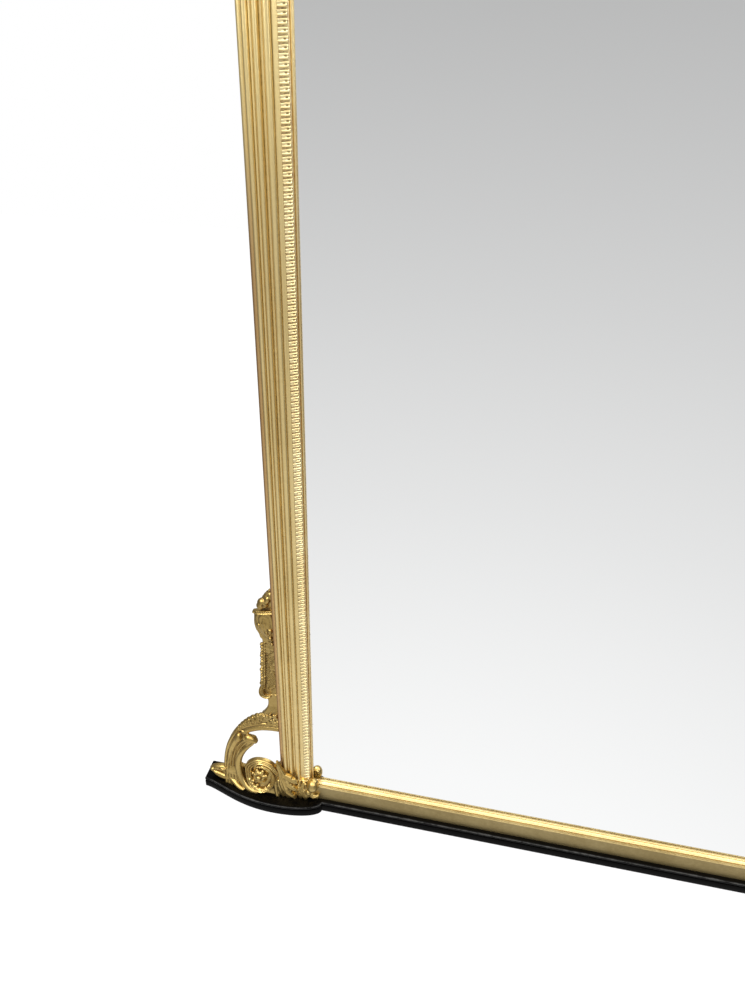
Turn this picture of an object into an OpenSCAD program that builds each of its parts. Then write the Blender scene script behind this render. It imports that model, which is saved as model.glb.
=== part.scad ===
// Overmantel mirror: a gilt reeded frame with rounded top corners and a carved crest, standing on
// an ebonised plinth with bowed end blocks. Carved scroll brackets stand outside the stiles' feet.
//
// X runs to the right, Y runs back to the wall and Z up. The origin is the middle of the underside
// of the plinth's centre board. Drawings give "depth" as the distance forward of the wall.

/* [Plinth] */
// Width of the whole plinth
plinth_w = 1800; // [1740:10:2000]
// Thickness of the plinth boards
plinth_t = 30; // [26:1:40]
// Depth of the straight centre board
centre_d = 62; // [58:1:70]
// Width of each end block
block_w = 312; // [300:2:330]
// Depth of an end block at its outer front corner
corner_d = 55; // [50:1:60]
// Greatest depth of an end block, at the middle of its bow
bow_d = 95; // [88:1:110]
// Distance of the bow's middle from the end block's joint
bow_from_joint = 120; // [100:2:140]
// Squareness of the bow's shoulder at the joint: 2 is an ellipse
bow_shoulder = 2; // [2:0.1:4]
// Radius of the nosing along the plinth's front edge
nosing_r = 6; // [3:0.5:9]

/* [Frame] */
// Width of the frame over its stiles
frame_w = 1392; // [1300:4:1440]
// Height of the frame's top edge above the shelf
frame_top = 1900; // [1500:10:2000]
// Outer radius of the two top corners
corner_r = 190; // [150:5:260]
// Distance of the frame's back from the wall
back_gap = 9; // [8.5:0.5:14]
// Width of the gilt slip that shows next to the glass
slip_w = 8; // [5:0.5:12]
// Width of the egg-and-tongue band
egg_w = 14; // [10:0.5:18]
// Width of the flat fillet beside the egg band
flat_w = 10; // [6:0.5:14]
// Width of the inner reed
reed_inner_w = 11; // [8:0.5:14]
// Width of the fillet between the inner and middle reeds
fillet_w = 6; // [3:0.5:8]
// Width of the middle reed
reed_middle_w = 13; // [8:0.5:16]
// Width of the outer reed
reed_outer_w = 11; // [8:0.5:14]
// Width of the bead along the outer edge
bead_w = 7; // [4:0.5:8]
// Depth of the two proud reeds' crests
reed_d = 56; // [54:0.5:60]
// Depth of the inner reed's crest
reed_inner_d = 52; // [49:0.5:54]
// Depth of the fillet between the reeds
fillet_d = 46; // [44:0.5:46.5]
// Depth of the flat fillet
flat_d = 45; // [44:0.5:46.5]
// Depth of the outer bead's crest
bead_d = 46; // [45:0.5:48]
// Thickness of the egg-and-tongue strip
egg_t = 2.5; // [1.5:0.25:4]

/* [Bottom rail] */
// Height of the rail's ridge above the plinth
rail_h = 38; // [34:1:44]
// Depth of the rail's fascia at its foot
rail_d = 50; // [46:1:54]
// Backward slope of the fascia from foot to ridge
rail_batter = 3; // [0:0.5:5]
// Radius of the ridge bead along the rail's top
ridge_r = 2.2; // [1.5:0.1:3]
// Height of the glass rebate's floor above the plinth
rail_rebate_h = 24; // [20:1:26]

/* [Glass and back] */
// Thickness of the mirror plate
glass_t = 5; // [4:0.5:6]
// How far the mirror plate runs under the slips
glass_lap = 10; // [7:0.5:11]
// Depth of the glass's front face
glass_d = 31; // [30:0.5:32]
// Width of the rebate that the glass lies in, from the sight edge
rebate_w = 16; // [13:0.5:18]
// Depth of the lip that holds the slips
lip_d = 34.5; // [34:0.25:35]
// Thickness of the backboards
board_t = 9; // [6:0.5:10]
// Number of vertical backboards
board_count = 5; // [5:1:5]
// Gap between neighbouring backboards
board_gap = 0.5; // [0.2:0.1:1.5]
// Lap of the backboards on the frame, from the sight edge
board_lap = 38; // [34:1:42]
// Clearance of the backboards in their rebate
board_clear = 0.4; // [0.2:0.1:2]
// Width of the cross battens
batten_w = 60; // [40:2:90]
// Thickness of the battens
batten_t = 8; // [6:0.5:8]
// Height of the lower cross batten's middle above the shelf
batten_low_z = 480; // [300:10:700]
// Height of the upper cross batten's middle above the shelf
batten_high_z = 1420; // [1000:10:1420]
// Length of a glazing block
glazing_l = 60; // [40:5:90]
// Pitch of the glazing blocks
glazing_pitch = 290; // [200:10:400]

/* [Fixings] */
// Diameter of the joint dowels
dowel_dia = 8; // [6:0.5:9]
// Length of the joint dowels
dowel_l = 60; // [40:2:70]
// Radial clearance of a dowel or screw in its hole
fixing_fit = 0.05; // [0.02:0.01:0.1]
// Shank diameter of the plinth screws
plinth_screw_dia = 5; // [4:0.5:6]
// Length of the plinth screws
plinth_screw_l = 45; // [40:1:48]
// Shank diameter of the board and batten screws
board_screw_dia = 3.5; // [3:0.25:4]
// Length of the board screws
board_screw_l = 24; // [18:1:26]
// Length of the batten screws
batten_screw_l = 15; // [12:1:16]

/* [Hangers] */
// Height of the rings' pivots above the shelf
hanger_z = 1600; // [1500:10:1640]
// Width of the hanger strap
strap_w = 18; // [14:1:20]
// Thickness of the hanger strap
strap_t = 1.6; // [1:0.1:2]
// Length of the strap below the pivot
strap_l = 66; // [60:1:90]
// Diameter of the ring's wire
wire_dia = 4; // [3:0.25:4]
// Inner width of the ring
ring_w = 22; // [22:0.5:28]
// Length of the ring from its pivot to the inside of its bend
ring_l = 27; // [24:1:28]
// Radial clearance of the ring's bar in the strap's eye
ring_fit = 0.08; // [0.05:0.01:0.1]
// Wall of the rolled eye
eye_wall = 1.6; // [1:0.1:1.6]

/* [Scroll brackets] */
// Height of the bracket where it meets the console
bracket_h = 285; // [270:5:300]
// Depth of the bracket's back
bracket_back_d = 24; // [14:1:28]
// Depth of the bracket's upper face
bracket_face_d = 43; // [42:0.5:46]
// Depth of the bracket's face beside the stile's foot, where the leaf is planted on it
bracket_foot_d = 56.2; // [56.2:0.2:60]
// Height that the bracket's face begins to sweep forward from
sweep_h = 85; // [70:1:100]
// Radius of the bracket's volute
volute_r = 42; // [38:1:46]
// Height of the leaf and the rosette above what they are planted on
relief = 12; // [6:0.5:14]
// Height of the raised rims above the bracket's face
rim_rise = 4; // [2:0.5:6]
// Radius of the rosette
rosette_r = 18; // [14:1:20]
// Height of the console's tip above the shelf
console_top = 658; // [600:2:760]
// Depth of the console's back
console_back_d = 14; // [10:1:16]
// Depth of the console's face
console_face_d = 38; // [30:1:41]

/* [Crest] */
// Height of the whole crest above the frame
crest_h = 188; // [170:2:200]
// Reach of each crest scroll from the middle
crest_reach = 520; // [480:5:560]
// Depth of the crest scrolls' face
crest_face_d = 44; // [36:1:48]
// Depth of the cartouche's face
cartouche_d = 52; // [48:1:60]
// Radius of the cabochon's ends
cabochon_r = 26; // [20:1:30]
// Width of the batten behind the crest
crest_batten_w = 80; // [60:2:100]

/* [Hidden] */
$fn = 48;

gilt = [0.83, 0.66, 0.33];
gilt_dark = [0.66, 0.48, 0.2];
ebony = [0.06, 0.055, 0.05];
pine = [0.72, 0.55, 0.36];
iron = [0.35, 0.34, 0.33];
brass = [0.75, 0.6, 0.3];

moulding_w = egg_w + flat_w + reed_inner_w + fillet_w + reed_middle_w + reed_outer_w + bead_w;
stile_w = slip_w + moulding_w;
sight_x = frame_w / 2 - stile_w;
sight_r = corner_r - stile_w;
spring_z = frame_top - corner_r;
corner_x = frame_w / 2 - corner_r;
sight_top = frame_top - stile_w;
body_d = bead_d - bead_w / 2 - 0.5;
bed_inner_d = lip_d + 1;
bed_outer_d = flat_d - egg_t - 1;
rail_z = plinth_t + rail_rebate_h;
rail_top_z = plinth_t + rail_h;
glass_clear = 4;
glass_foot_z = rail_z + glass_clear;
board_front_d = back_gap + board_t;
board_edge = board_lap + 2 * board_clear;
board_foot_z = plinth_t + 14;
joint_x = plinth_w / 2 - block_w;
dowel_r = dowel_dia / 2;
plinth_dowel_ds = [20, centre_d - 18];
strap_x = frame_w / 2 - (stile_w - board_edge) / 2;
eye_r = wire_dia / 2 + ring_fit + eye_wall;
eye_d = back_gap - eye_r;
strap_holes = [36, 56];
plinth_screw_d = 30;
plinth_head_z = 4;
// depth that the points of the hangers' and the crest batten's screws reach
short_screw_d = back_gap + 16;
board_screw_z = [plinth_t + 19, sight_top + (rebate_w + board_lap) / 2];
board_screw_off = 80;
batten_zs = [batten_low_z, batten_high_z];
board_pitch = 2 * (sight_x + board_lap) / board_count;
crest_top = frame_top + crest_h;
crest_back_d = back_gap;
tiny = 0.3;

// ---- drawing helpers ----

// Points round an arc from angle a to angle b
function arc(cx, cy, r, a, b, n = 10) =
  [for (i = [0:n]) [cx + r * cos(a + (b - a) * i / n), cy + r * sin(a + (b - a) * i / n)]];
// Points along a spiral whose radius runs evenly from r0 to r1
function spiral(cx, cy, r0, r1, a, b, n = 24) =
  [for (i = [0:n]) let (t = i / n, r = r0 + (r1 - r0) * t, turn = a + (b - a) * t)
    [cx + r * cos(turn), cy + r * sin(turn)]];
// One point of a smooth curve between b and c, with a and d as their neighbours
function between(a, b, c, d, t) =
  (2 * b + (c - a) * t + (2 * a - 5 * b + 4 * c - d) * t * t + (3 * b - a - 3 * c + d) * t * t * t) / 2;
// A closed outline rounded smoothly through hand-placed points
function rounded(p, n = 4) =
  let (m = len(p))
  [for (i = [0:m - 1]) for (k = [0:n - 1])
    between(p[(i + m - 1) % m], p[i], p[(i + 1) % m], p[(i + 2) % m], k / n)];
// An open path rounded smoothly through hand-placed points
function flowing(p, n = 5) =
  let (m = len(p))
  concat(
    [for (i = [0:m - 2]) for (k = [0:n - 1])
      between(p[max(i - 1, 0)], p[i], p[i + 1], p[min(i + 2, m - 1)], k / n)],
    [p[m - 1]]
  );
// Unit vector square to a path at its point i
function square_to(p, i) =
  let (d = p[min(i + 1, len(p) - 1)] - p[max(i - 1, 0)], l = norm(d)) [-d[1] / l, d[0] / l];
// Outline of a ribbon along a path, whose half width swells from w0 to w1 and ends at w2
function ribbon(p, w0, w1, w2) =
  let (
    m = len(p),
    w = [for (i = [0:m - 1]) let (t = 2 * i / (m - 1)) t < 1 ? w0 + (w1 - w0) * t : w1 + (w2 - w1) * (t - 1)]
  )
  concat(
    [for (i = [0:m - 1]) p[i] + w[i] * square_to(p, i)],
    [for (i = [m - 1:-1:0]) p[i] - w[i] * square_to(p, i)]
  );

// Draws on the right, or mirrored on the left
module on(side) {
  if (side == "left") mirror([1, 0, 0]) children();
  else children();
}

// Extrudes a front view (x, z) between two depths
module face_on(d0, d1) {
  translate([0, centre_d / 2 - d0, 0]) rotate([90, 0, 0]) linear_extrude(d1 - d0) children();
}

// Extrudes a plan (x, depth) between two heights
module plan(z0, z1) {
  translate([0, centre_d / 2, z0]) linear_extrude(z1 - z0) mirror([0, 1, 0]) children();
}

// Extrudes a section (z, depth) between two places along X
module along_x(x0, x1) {
  translate([x0, centre_d / 2, 0]) rotate([0, -90, 180]) linear_extrude(x1 - x0) children();
}

// A cylinder along Y between two depths
module pin_y(x, z, d0, d1, r) {
  translate([x, centre_d / 2 - d0, z]) rotate([90, 0, 0]) cylinder(h = d1 - d0, r = r);
}

// A cylinder along X
module pin_x(x0, x1, depth, z, r) {
  translate([x0, centre_d / 2 - depth, z]) rotate([0, 90, 0]) cylinder(h = x1 - x0, r = r);
}

// A cylinder along Z
module pin_z(x, depth, z0, z1, r) {
  translate([x, centre_d / 2 - depth, z0]) cylinder(h = z1 - z0, r = r);
}

// ---- fixings: each set is drawn once, as the solids, and again with clearance as their holes ----

module plinth_joint_dowels(fit = 0) {
  half = dowel_l / 2 + fit;
  for (side = ["left", "right"], depth = plinth_dowel_ds)
    on(side) pin_x(joint_x - half, joint_x + half, depth, plinth_t / 2, dowel_r + fit);
}

module frame_joint_dowels(fit = 0) {
  half = dowel_l / 2 + fit;
  for (side = ["left", "right"]) on(side) {
    for (u = [stile_w * 0.6, stile_w * 0.85]) {
      pin_z(sight_x + u, body_d * 0.6, spring_z - half, spring_z + half, dowel_r + fit);
      pin_x(corner_x - half, corner_x + half, body_d * 0.6, sight_top + u, dowel_r + fit);
    }
    pin_x(sight_x + rebate_w - half, sight_x + rebate_w + half, lip_d - 8, plinth_t + 12, dowel_r + fit);
  }
}

// Places of the screws that come up through the plinth, as distances from the middle
function plinth_screw_xs() =
  [sight_x * 0.2, sight_x * 0.62, frame_w / 2 - stile_w / 3, frame_w / 2 + 62, frame_w / 2 + 126];

module plinth_screw_shanks(fit = 0) {
  for (side = ["left", "right"], x = plinth_screw_xs())
    on(side) pin_z(
      x, plinth_screw_d, plinth_head_z - fit, plinth_head_z + plinth_screw_l + fit, plinth_screw_dia / 2 + fit
    );
}

module plinth_screw_heads(fit = 0) {
  for (side = ["left", "right"], x = plinth_screw_xs())
    on(side) pin_z(x, plinth_screw_d, fit > 0 ? -1 : 1, plinth_head_z, plinth_screw_dia + fit);
}

// Place along X of a board screw, kept clear of the frame's rounded corners
function board_screw_x(i, s) =
  let (
    limit = corner_x - 12,
    off = board_screw_off * (abs(board_middle(i)) > corner_x ? 0.7 : 1)
  )
  max(-limit, min(limit, board_middle(i) + s * off));

module backboard_screw_shanks(fit = 0) {
  for (i = [0:board_count - 1], s = [-1, 1], z = board_screw_z)
    pin_y(board_screw_x(i, s), z, back_gap, back_gap + board_screw_l + fit, board_screw_dia / 2 + fit);
}

module batten_screw_shanks(fit = 0) {
  for (i = [0:board_count - 1], z = batten_zs)
    pin_y(
      board_middle(i), z, back_gap - batten_t, back_gap - batten_t + batten_screw_l + fit, board_screw_dia / 2 + fit
    );
}

module hanger_screw_shanks(fit = 0) {
  for (side = ["left", "right"], dz = strap_holes)
    on(side) pin_y(strap_x, hanger_z - dz, back_gap - strap_t, short_screw_d + fit, board_screw_dia / 2 + fit);
}

// Heights of the screws that hold the crest's batten
function crest_screw_zs() = [frame_top - 28, frame_top - 10, frame_top + 50, frame_top + 110];

module crest_screw_shanks(fit = 0) {
  for (s = [-1, 1], z = crest_screw_zs())
    pin_y(s * crest_batten_w / 4, z, back_gap - batten_t, short_screw_d + fit, board_screw_dia / 2 + fit);
}

// ---- plinth ----

// Depth of an end block's front edge: a full bow out of the joint, then a long sweep back to the corner
function bow_v(x) =
  let (
    bow_x = joint_x + bow_from_joint,
    near = (bow_x - x) / bow_from_joint,
    far = (x - bow_x) / (block_w - bow_from_joint)
  )
  near > 0
    ? centre_d + (bow_d - centre_d) * pow(max(0, 1 - pow(near, bow_shoulder)), 1 / bow_shoulder)
    : corner_d + (bow_d - corner_d) * pow(max(0, 1 - pow(far, 2.2)), 1.5);

// Plan of an end block with its front and outer edges drawn in by an inset
module end_block_plan(inset) {
  n = 30;
  polygon(concat(
    [[joint_x, 0], [joint_x, centre_d - inset]],
    [for (i = [1:n]) let (c = cos(90 * i / n), x = joint_x + block_w * (1 - c * c))
      [min(x, plinth_w / 2 - inset), bow_v(x) - inset]],
    [[plinth_w / 2 - inset, 0]]
  ));
}

module plinth_end(side) {
  steps = 4;
  color(ebony) on(side) difference() {
    union() {
      for (i = [0:steps]) {
        a = 90 * i / steps;
        plan(0, plinth_t - nosing_r + nosing_r * sin(a)) end_block_plan(nosing_r * (1 - cos(a)));
      }
    }
    plinth_joint_dowels(fixing_fit);
    plinth_screw_shanks(fixing_fit);
    plinth_screw_heads(fixing_fit);
  }
}

module plinth_centre() {
  color(ebony) difference() {
    along_x(-joint_x, joint_x) union() {
      square([plinth_t - nosing_r, centre_d]);
      square([plinth_t, centre_d - nosing_r]);
      translate([plinth_t - nosing_r, centre_d - nosing_r]) circle(nosing_r);
    }
    plinth_joint_dowels(fixing_fit);
    plinth_screw_shanks(fixing_fit);
    plinth_screw_heads(fixing_fit);
  }
}

module plinth_dowels() {
  color(pine) plinth_joint_dowels();
}

module plinth_screws() {
  color(iron) union() {
    plinth_screw_shanks();
    plinth_screw_heads();
  }
}

// ---- frame ----

// A reed with a half-round crest at depth d
module reed(u, w, d) {
  translate([u, body_d - 1]) square([w, d - w / 2 - body_d + 1]);
  translate([u + w / 2, d - w / 2]) circle(w / 2);
}

// Section of the frame moulding: u runs outward from the sight edge, then depth
module moulding_section() {
  u_flat = slip_w + egg_w;
  u_inner = u_flat + flat_w;
  u_fillet = u_inner + reed_inner_w;
  u_middle = u_fillet + fillet_w;
  u_outer = u_middle + reed_middle_w;
  u_bead = u_outer + reed_outer_w;
  difference() {
    union() {
      translate([u_flat, back_gap]) square([stile_w - u_flat, body_d - back_gap]);
      polygon([
        [slip_w, back_gap], [u_flat + 1, back_gap], [u_flat + 1, bed_outer_d],
        [u_flat, bed_outer_d], [slip_w, bed_inner_d]
      ]);
      translate([u_flat, body_d - 1]) square([flat_w, flat_d - body_d + 1]);
      reed(u_inner, reed_inner_w, reed_inner_d);
      translate([u_fillet, body_d - 1]) square([fillet_w, fillet_d - body_d + 1]);
      reed(u_middle, reed_middle_w, reed_d);
      reed(u_outer, reed_outer_w, reed_d);
      reed(u_bead, bead_w, bead_d);
    }
    translate([slip_w - 1, back_gap - 1]) square([rebate_w - slip_w + 1, lip_d - back_gap + 1]);
    translate([slip_w - 1, back_gap - 1]) square([board_edge - slip_w + 1, board_t + 1]);
  }
}

module egg_section() {
  polygon([
    [slip_w, bed_inner_d], [slip_w + egg_w, bed_outer_d],
    [slip_w + egg_w, bed_outer_d + egg_t], [slip_w, bed_inner_d + egg_t]
  ]);
}

module slip_section() {
  polygon([
    [0, glass_d], [rebate_w - 0.5, glass_d], [rebate_w - 0.5, lip_d], [slip_w, lip_d],
    [slip_w - 1, lip_d + 0.8], [slip_w - 3, lip_d + 1], [1, glass_d + 2.5], [0, glass_d + 1.5]
  ]);
}

// A section carried up a stile from z0 to the springing of the corner
module up_stile(z0) {
  plan(z0, spring_z) translate([sight_x, 0]) children();
}

// A section carried round the top corner
module round_corner() {
  translate([corner_x, centre_d / 2, spring_z]) rotate([90, 0, 0])
    rotate_extrude(angle = 90) translate([sight_r, 0]) children();
}

// A section carried across the top
module across_top() {
  along_x(-corner_x, corner_x) translate([sight_top, 0]) children();
}

module stile(side) {
  color(gilt) on(side) difference() {
    up_stile(plinth_t) moulding_section();
    frame_joint_dowels(fixing_fit);
    plinth_screw_shanks(fixing_fit);
    hanger_screw_shanks(fixing_fit);
  }
}

module corner(side) {
  color(gilt) on(side) difference() {
    round_corner() moulding_section();
    frame_joint_dowels(fixing_fit);
  }
}

module top_rail() {
  color(gilt) difference() {
    across_top() moulding_section();
    frame_joint_dowels(fixing_fit);
    backboard_screw_shanks(fixing_fit);
    crest_screw_shanks(fixing_fit);
  }
}

module rail_section() {
  slip_back_d = glass_d + 7;
  difference() {
    union() {
      polygon([
        [plinth_t, back_gap], [plinth_t, rail_d], [rail_top_z - ridge_r, rail_d - rail_batter],
        [rail_top_z - ridge_r, slip_back_d], [rail_top_z - 6, slip_back_d - 2],
        [rail_z, slip_back_d - 2], [rail_z, back_gap]
      ]);
      translate([rail_top_z - ridge_r, rail_d - rail_batter - ridge_r]) circle(ridge_r);
    }
    translate([rail_z, back_gap]) square([rail_h, slip_back_d - back_gap]);
    translate([board_foot_z - board_clear, back_gap - 1]) square([rail_h, board_t + 1]);
  }
}

module bottom_rail() {
  color(gilt) difference() {
    union() {
      along_x(-sight_x - slip_w, sight_x + slip_w) rail_section();
      along_x(-sight_x - rebate_w, sight_x + rebate_w) translate([plinth_t, board_front_d])
        square([rail_rebate_h, lip_d - board_front_d]);
      along_x(-sight_x - rebate_w, sight_x + rebate_w) translate([plinth_t, back_gap])
        square([board_foot_z - board_clear - plinth_t, board_t]);
    }
    frame_joint_dowels(fixing_fit);
    plinth_screw_shanks(fixing_fit);
    backboard_screw_shanks(fixing_fit);
  }
}

module frame_dowels() {
  color(pine) frame_joint_dowels();
}

module slip_bottom() {
  color(gilt) along_x(-sight_x, sight_x) union() {
    translate([rail_z, glass_d]) square([rail_h - rail_rebate_h - 1, 7]);
    translate([rail_top_z - 1, glass_d + 5]) circle(2);
  }
}

module side_slip(side) {
  color(gilt) on(side) up_stile(rail_z) slip_section();
}

module corner_slip(side) {
  color(gilt) on(side) round_corner() slip_section();
}

module slip_top() {
  color(gilt) across_top() slip_section();
}

module egg_strip(side) {
  color(gilt_dark) on(side) up_stile(plinth_t) egg_section();
}

module egg_strip_corner(side) {
  color(gilt_dark) on(side) round_corner() egg_section();
}

module egg_strip_top() {
  color(gilt_dark) across_top() egg_section();
}

// ---- glass and back ----

// Front view of a board with round top corners, standing off the sight edge by a lap
module arched_board(foot_z, lap) {
  union() {
    translate([-sight_x - lap, foot_z]) square([2 * (sight_x + lap), spring_z - foot_z]);
    translate([-corner_x, foot_z]) square([2 * corner_x, sight_top + lap - foot_z]);
    for (s = [-1, 1]) translate([s * corner_x, spring_z]) circle(sight_r + lap);
  }
}

module mirror_plate() {
  color([0.8, 0.85, 0.87]) face_on(glass_d - glass_t, glass_d) arched_board(glass_foot_z, glass_lap);
}

module setting_blocks() {
  color(pine) for (s = [-1, 1]) translate([s * sight_x / 2, 0, 0])
    along_x(-glazing_l / 2, glazing_l / 2) translate([rail_z, board_front_d])
      square([glass_clear, glass_d - board_front_d]);
}

module glazing_blocks() {
  reach = rebate_w - glass_lap + 4;
  thick = glass_d - glass_t - board_front_d;
  side_n = floor((spring_z - rail_z - glazing_l) / glazing_pitch);
  top_n = floor((corner_x - glazing_l) / glazing_pitch);
  color(pine) union() {
    for (side = ["left", "right"], i = [0:side_n]) {
      foot_z = rail_z + 40 + i * glazing_pitch;
      on(side) plan(foot_z, foot_z + glazing_l)
        translate([sight_x + rebate_w - reach, board_front_d]) square([reach, thick]);
    }
    for (i = [-top_n:top_n])
      along_x(i * glazing_pitch - glazing_l / 2, i * glazing_pitch + glazing_l / 2)
        translate([sight_top + rebate_w - reach, board_front_d]) square([reach, thick]);
  }
}

function board_middle(i) = (i - (board_count - 1) / 2) * board_pitch;

module backboard(i) {
  color(pine) difference() {
    face_on(back_gap, board_front_d) intersection() {
      arched_board(board_foot_z, board_lap);
      translate([board_middle(i) - board_pitch / 2 + board_gap / 2, 0])
        square([board_pitch - board_gap, frame_top]);
    }
    backboard_screw_shanks(fixing_fit);
    batten_screw_shanks(fixing_fit);
  }
}

module backboard_screws() {
  head_r = board_screw_dia;
  color(iron) union() {
    backboard_screw_shanks();
    for (i = [0:board_count - 1], s = [-1, 1], z = board_screw_z)
      pin_y(board_screw_x(i, s), z, back_gap - 1.5, back_gap, head_r);
  }
}

module batten(z) {
  color(pine) difference() {
    face_on(back_gap - batten_t, back_gap)
      translate([-sight_x - rebate_w, z - batten_w / 2]) square([2 * (sight_x + rebate_w), batten_w]);
    batten_screw_shanks(fixing_fit);
  }
}

module batten_screws() {
  color(iron) union() {
    batten_screw_shanks();
    for (i = [0:board_count - 1], z = batten_zs)
      pin_y(board_middle(i), z, back_gap - batten_t - 0.9, back_gap - batten_t, board_screw_dia);
  }
}

// ---- hangers ----

module hanger_strap(side) {
  color(brass) on(side) difference() {
    union() {
      face_on(back_gap - strap_t, back_gap) union() {
        translate([strap_x - strap_w / 2, hanger_z - strap_l + strap_w / 2])
          square([strap_w, strap_l - strap_w / 2]);
        translate([strap_x, hanger_z - strap_l + strap_w / 2]) circle(strap_w / 2);
      }
      pin_x(strap_x - strap_w / 2, strap_x + strap_w / 2, eye_d, hanger_z, eye_r);
    }
    pin_x(strap_x - strap_w, strap_x + strap_w, eye_d, hanger_z, wire_dia / 2 + ring_fit);
    hanger_screw_shanks(fixing_fit);
  }
}

module hanger_ring(side) {
  bend_r = (ring_w + wire_dia) / 2;
  straight = ring_l - ring_w / 2;
  r = wire_dia / 2;
  color(brass) on(side) translate([strap_x, centre_d / 2 - eye_d, hanger_z]) union() {
    translate([-bend_r, 0, 0]) rotate([0, 90, 0]) cylinder(h = 2 * bend_r, r = r);
    for (s = [-1, 1]) translate([s * bend_r, 0, 0]) union() {
      sphere(r);
      translate([0, 0, -straight]) cylinder(h = straight, r = r);
    }
    translate([0, 0, -straight]) rotate([-90, 0, 0]) rotate_extrude(angle = 180)
      translate([bend_r, 0]) circle(r);
  }
}

module hanger_screws() {
  color(brass) union() {
    hanger_screw_shanks();
    for (side = ["left", "right"], dz = strap_holes)
      on(side) pin_y(strap_x, hanger_z - dz, back_gap - strap_t - 1.6, back_gap - strap_t, board_screw_dia);
  }
}

// ---- scroll brackets, drawn from the stile's outer edge and the plinth's top ----

// Carries a drawing (distance outside the stile, height above the plinth) to its place
module at_foot() {
  translate([frame_w / 2, plinth_t]) children();
}

// A drawing stretched along both axes
function stretched(p, kx, kz) = [for (q = p) [q[0] * kx, q[1] * kz]];

// height that the bracket's outlines are drawn at
drawn_bracket_h = 285;
bracket_k = bracket_h / drawn_bracket_h;
volute_x = volute_r + 8;
volute_z = volute_r - 1;
eye_x = volute_x + 4;
eye_z = volute_z + 2;
eye_bed_d = bracket_face_d + 3;

// Outline of the bracket: up the stile, over the leafy arm and down to the foot scroll
bracket_outline = stretched([
  [0, 0], [0, 285], [26, 285], [30, 268], [38, 252], [54, 245], [74, 231], [92, 213], [107, 194], [122, 168],
  [134, 138], [142, 108], [147, 78], [150, 58], [166, 55], [184, 44], [191, 24], [182, 4], [160, 0]
], bracket_k, bracket_k);
// The opening between the arm, the curled leaf and the stile
bracket_opening = stretched([
  [-2, 92], [-2, 205], [26, 202], [47, 197], [64, 189], [66, 182], [59, 174], [56, 165], [62, 152], [72, 139],
  [83, 126], [92, 111], [98, 94], [99, 78], [92, 72], [76, 84], [52, 88], [28, 84], [12, 86]
], bracket_k, bracket_k);
// Middle lines of the fluted stem and of the raised rim beside it
bracket_stem = stretched(
  [[124, 0], [123, 40], [120, 80], [112, 114], [96, 146], [76, 166]], bracket_k, bracket_k
);
bracket_rim = stretched(
  [[62, 156], [84, 127], [98, 95], [102, 70], [97, 38], [84, 15], [62, 3]], bracket_k, bracket_k
);

// The bracket's face sweeps forward in steps: each one's share of the way from the upper face to the
// foot, with the height and the distance outside the stile that it reaches to
sweep_steps = [[0, bracket_h, 200], [0.3, sweep_h, 158], [0.65, sweep_h * 0.7, 140], [1, sweep_h * 0.5, 126]];

// Carries a front view (distance outside the stile, height above the plinth) forward to the swept face
module swept_forward(rise) {
  for (step = sweep_steps) {
    step_d = bracket_face_d + step[0] * (bracket_foot_d - bracket_face_d);
    face_on(bracket_back_d, step_d + rise) at_foot() intersection() {
      children();
      square([step[2] * bracket_k, step[1]]);
    }
  }
}

module scroll_bracket(side) {
  color(gilt) on(side) difference() {
    union() {
      swept_forward(0) difference() {
        union() {
          polygon(rounded(bracket_outline));
          translate([volute_x, volute_z]) circle(volute_r);
        }
        difference() {
          polygon(rounded(bracket_opening));
          translate([volute_x, volute_z]) circle(volute_r);
        }
      }
      // the fluted stem, its rim and the volute's ring stand up from the face
      swept_forward(rim_rise) difference() {
        union() {
          polygon(ribbon(flowing(bracket_stem), 19, 19, 12));
          polygon(ribbon(flowing(bracket_rim), 4, 6, 6));
          translate([volute_x, volute_z]) circle(volute_r);
        }
        square([28, bracket_h]);
      }
      // the volute's foot, forward of everything else
      face_on(bracket_back_d, bracket_foot_d + relief * 0.8) at_foot() intersection() {
        translate([volute_x, volute_z]) circle(volute_r);
        translate([28, 0]) square([100, volute_z * 0.5]);
      }
    }
    // sunk eye, which the rosette is planted in
    face_on(eye_bed_d, bracket_foot_d + relief + 1) at_foot() translate([eye_x, eye_z]) circle(rosette_r + 6);
    plinth_screw_shanks(fixing_fit);
  }
}

// Outline of the console: distance outside the stile and height above the bracket
drawn_console_h = 343;
console_outline = [
  [-10, -20], [26, -20], [26, 14], [40, 36], [39, 80], [35, 140], [32, 188], [41, 226], [45, 264], [40, 288],
  [36, 306], [22, 322], [9, 341], [-10, 343]
];

module bracket_console(side) {
  height = console_top - plinth_t - bracket_h;
  k = height / drawn_console_h;
  color(gilt) on(side) difference() {
    face_on(console_back_d, console_face_d) at_foot() translate([0, bracket_h]) intersection() {
      polygon(rounded(stretched(console_outline, 1, k)));
      square([frame_w, height]);
    }
    // sunk panel in the console's face
    face_on(console_face_d - 3, console_face_d + 1) at_foot()
      translate([7, bracket_h + 62 * k]) square([16, 120 * k]);
  }
}

module bracket_rosette(side) {
  petals = 8;
  color(gilt) on(side) face_on(eye_bed_d, eye_bed_d + relief + 3) at_foot() translate([eye_x, eye_z])
    union() {
      circle(rosette_r * 0.55);
      for (i = [0:petals - 1])
        rotate(360 * i / petals) translate([rosette_r * 0.62, 0]) circle(rosette_r * 0.36);
    }
}

module bracket_leaf(side) {
  leaf = [[26, 80], [8, 70], [-10, 48], [-22, 28], [-31, 6], [-20, 0], [0, 0], [6, 14], [16, 30], [12, 50]];
  color(gilt) on(side) face_on(bracket_foot_d, bracket_foot_d + relief) at_foot() intersection() {
    polygon(rounded(leaf));
    translate([-32, 0]) square([32 + 27, bracket_h]);
  }
}

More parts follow.
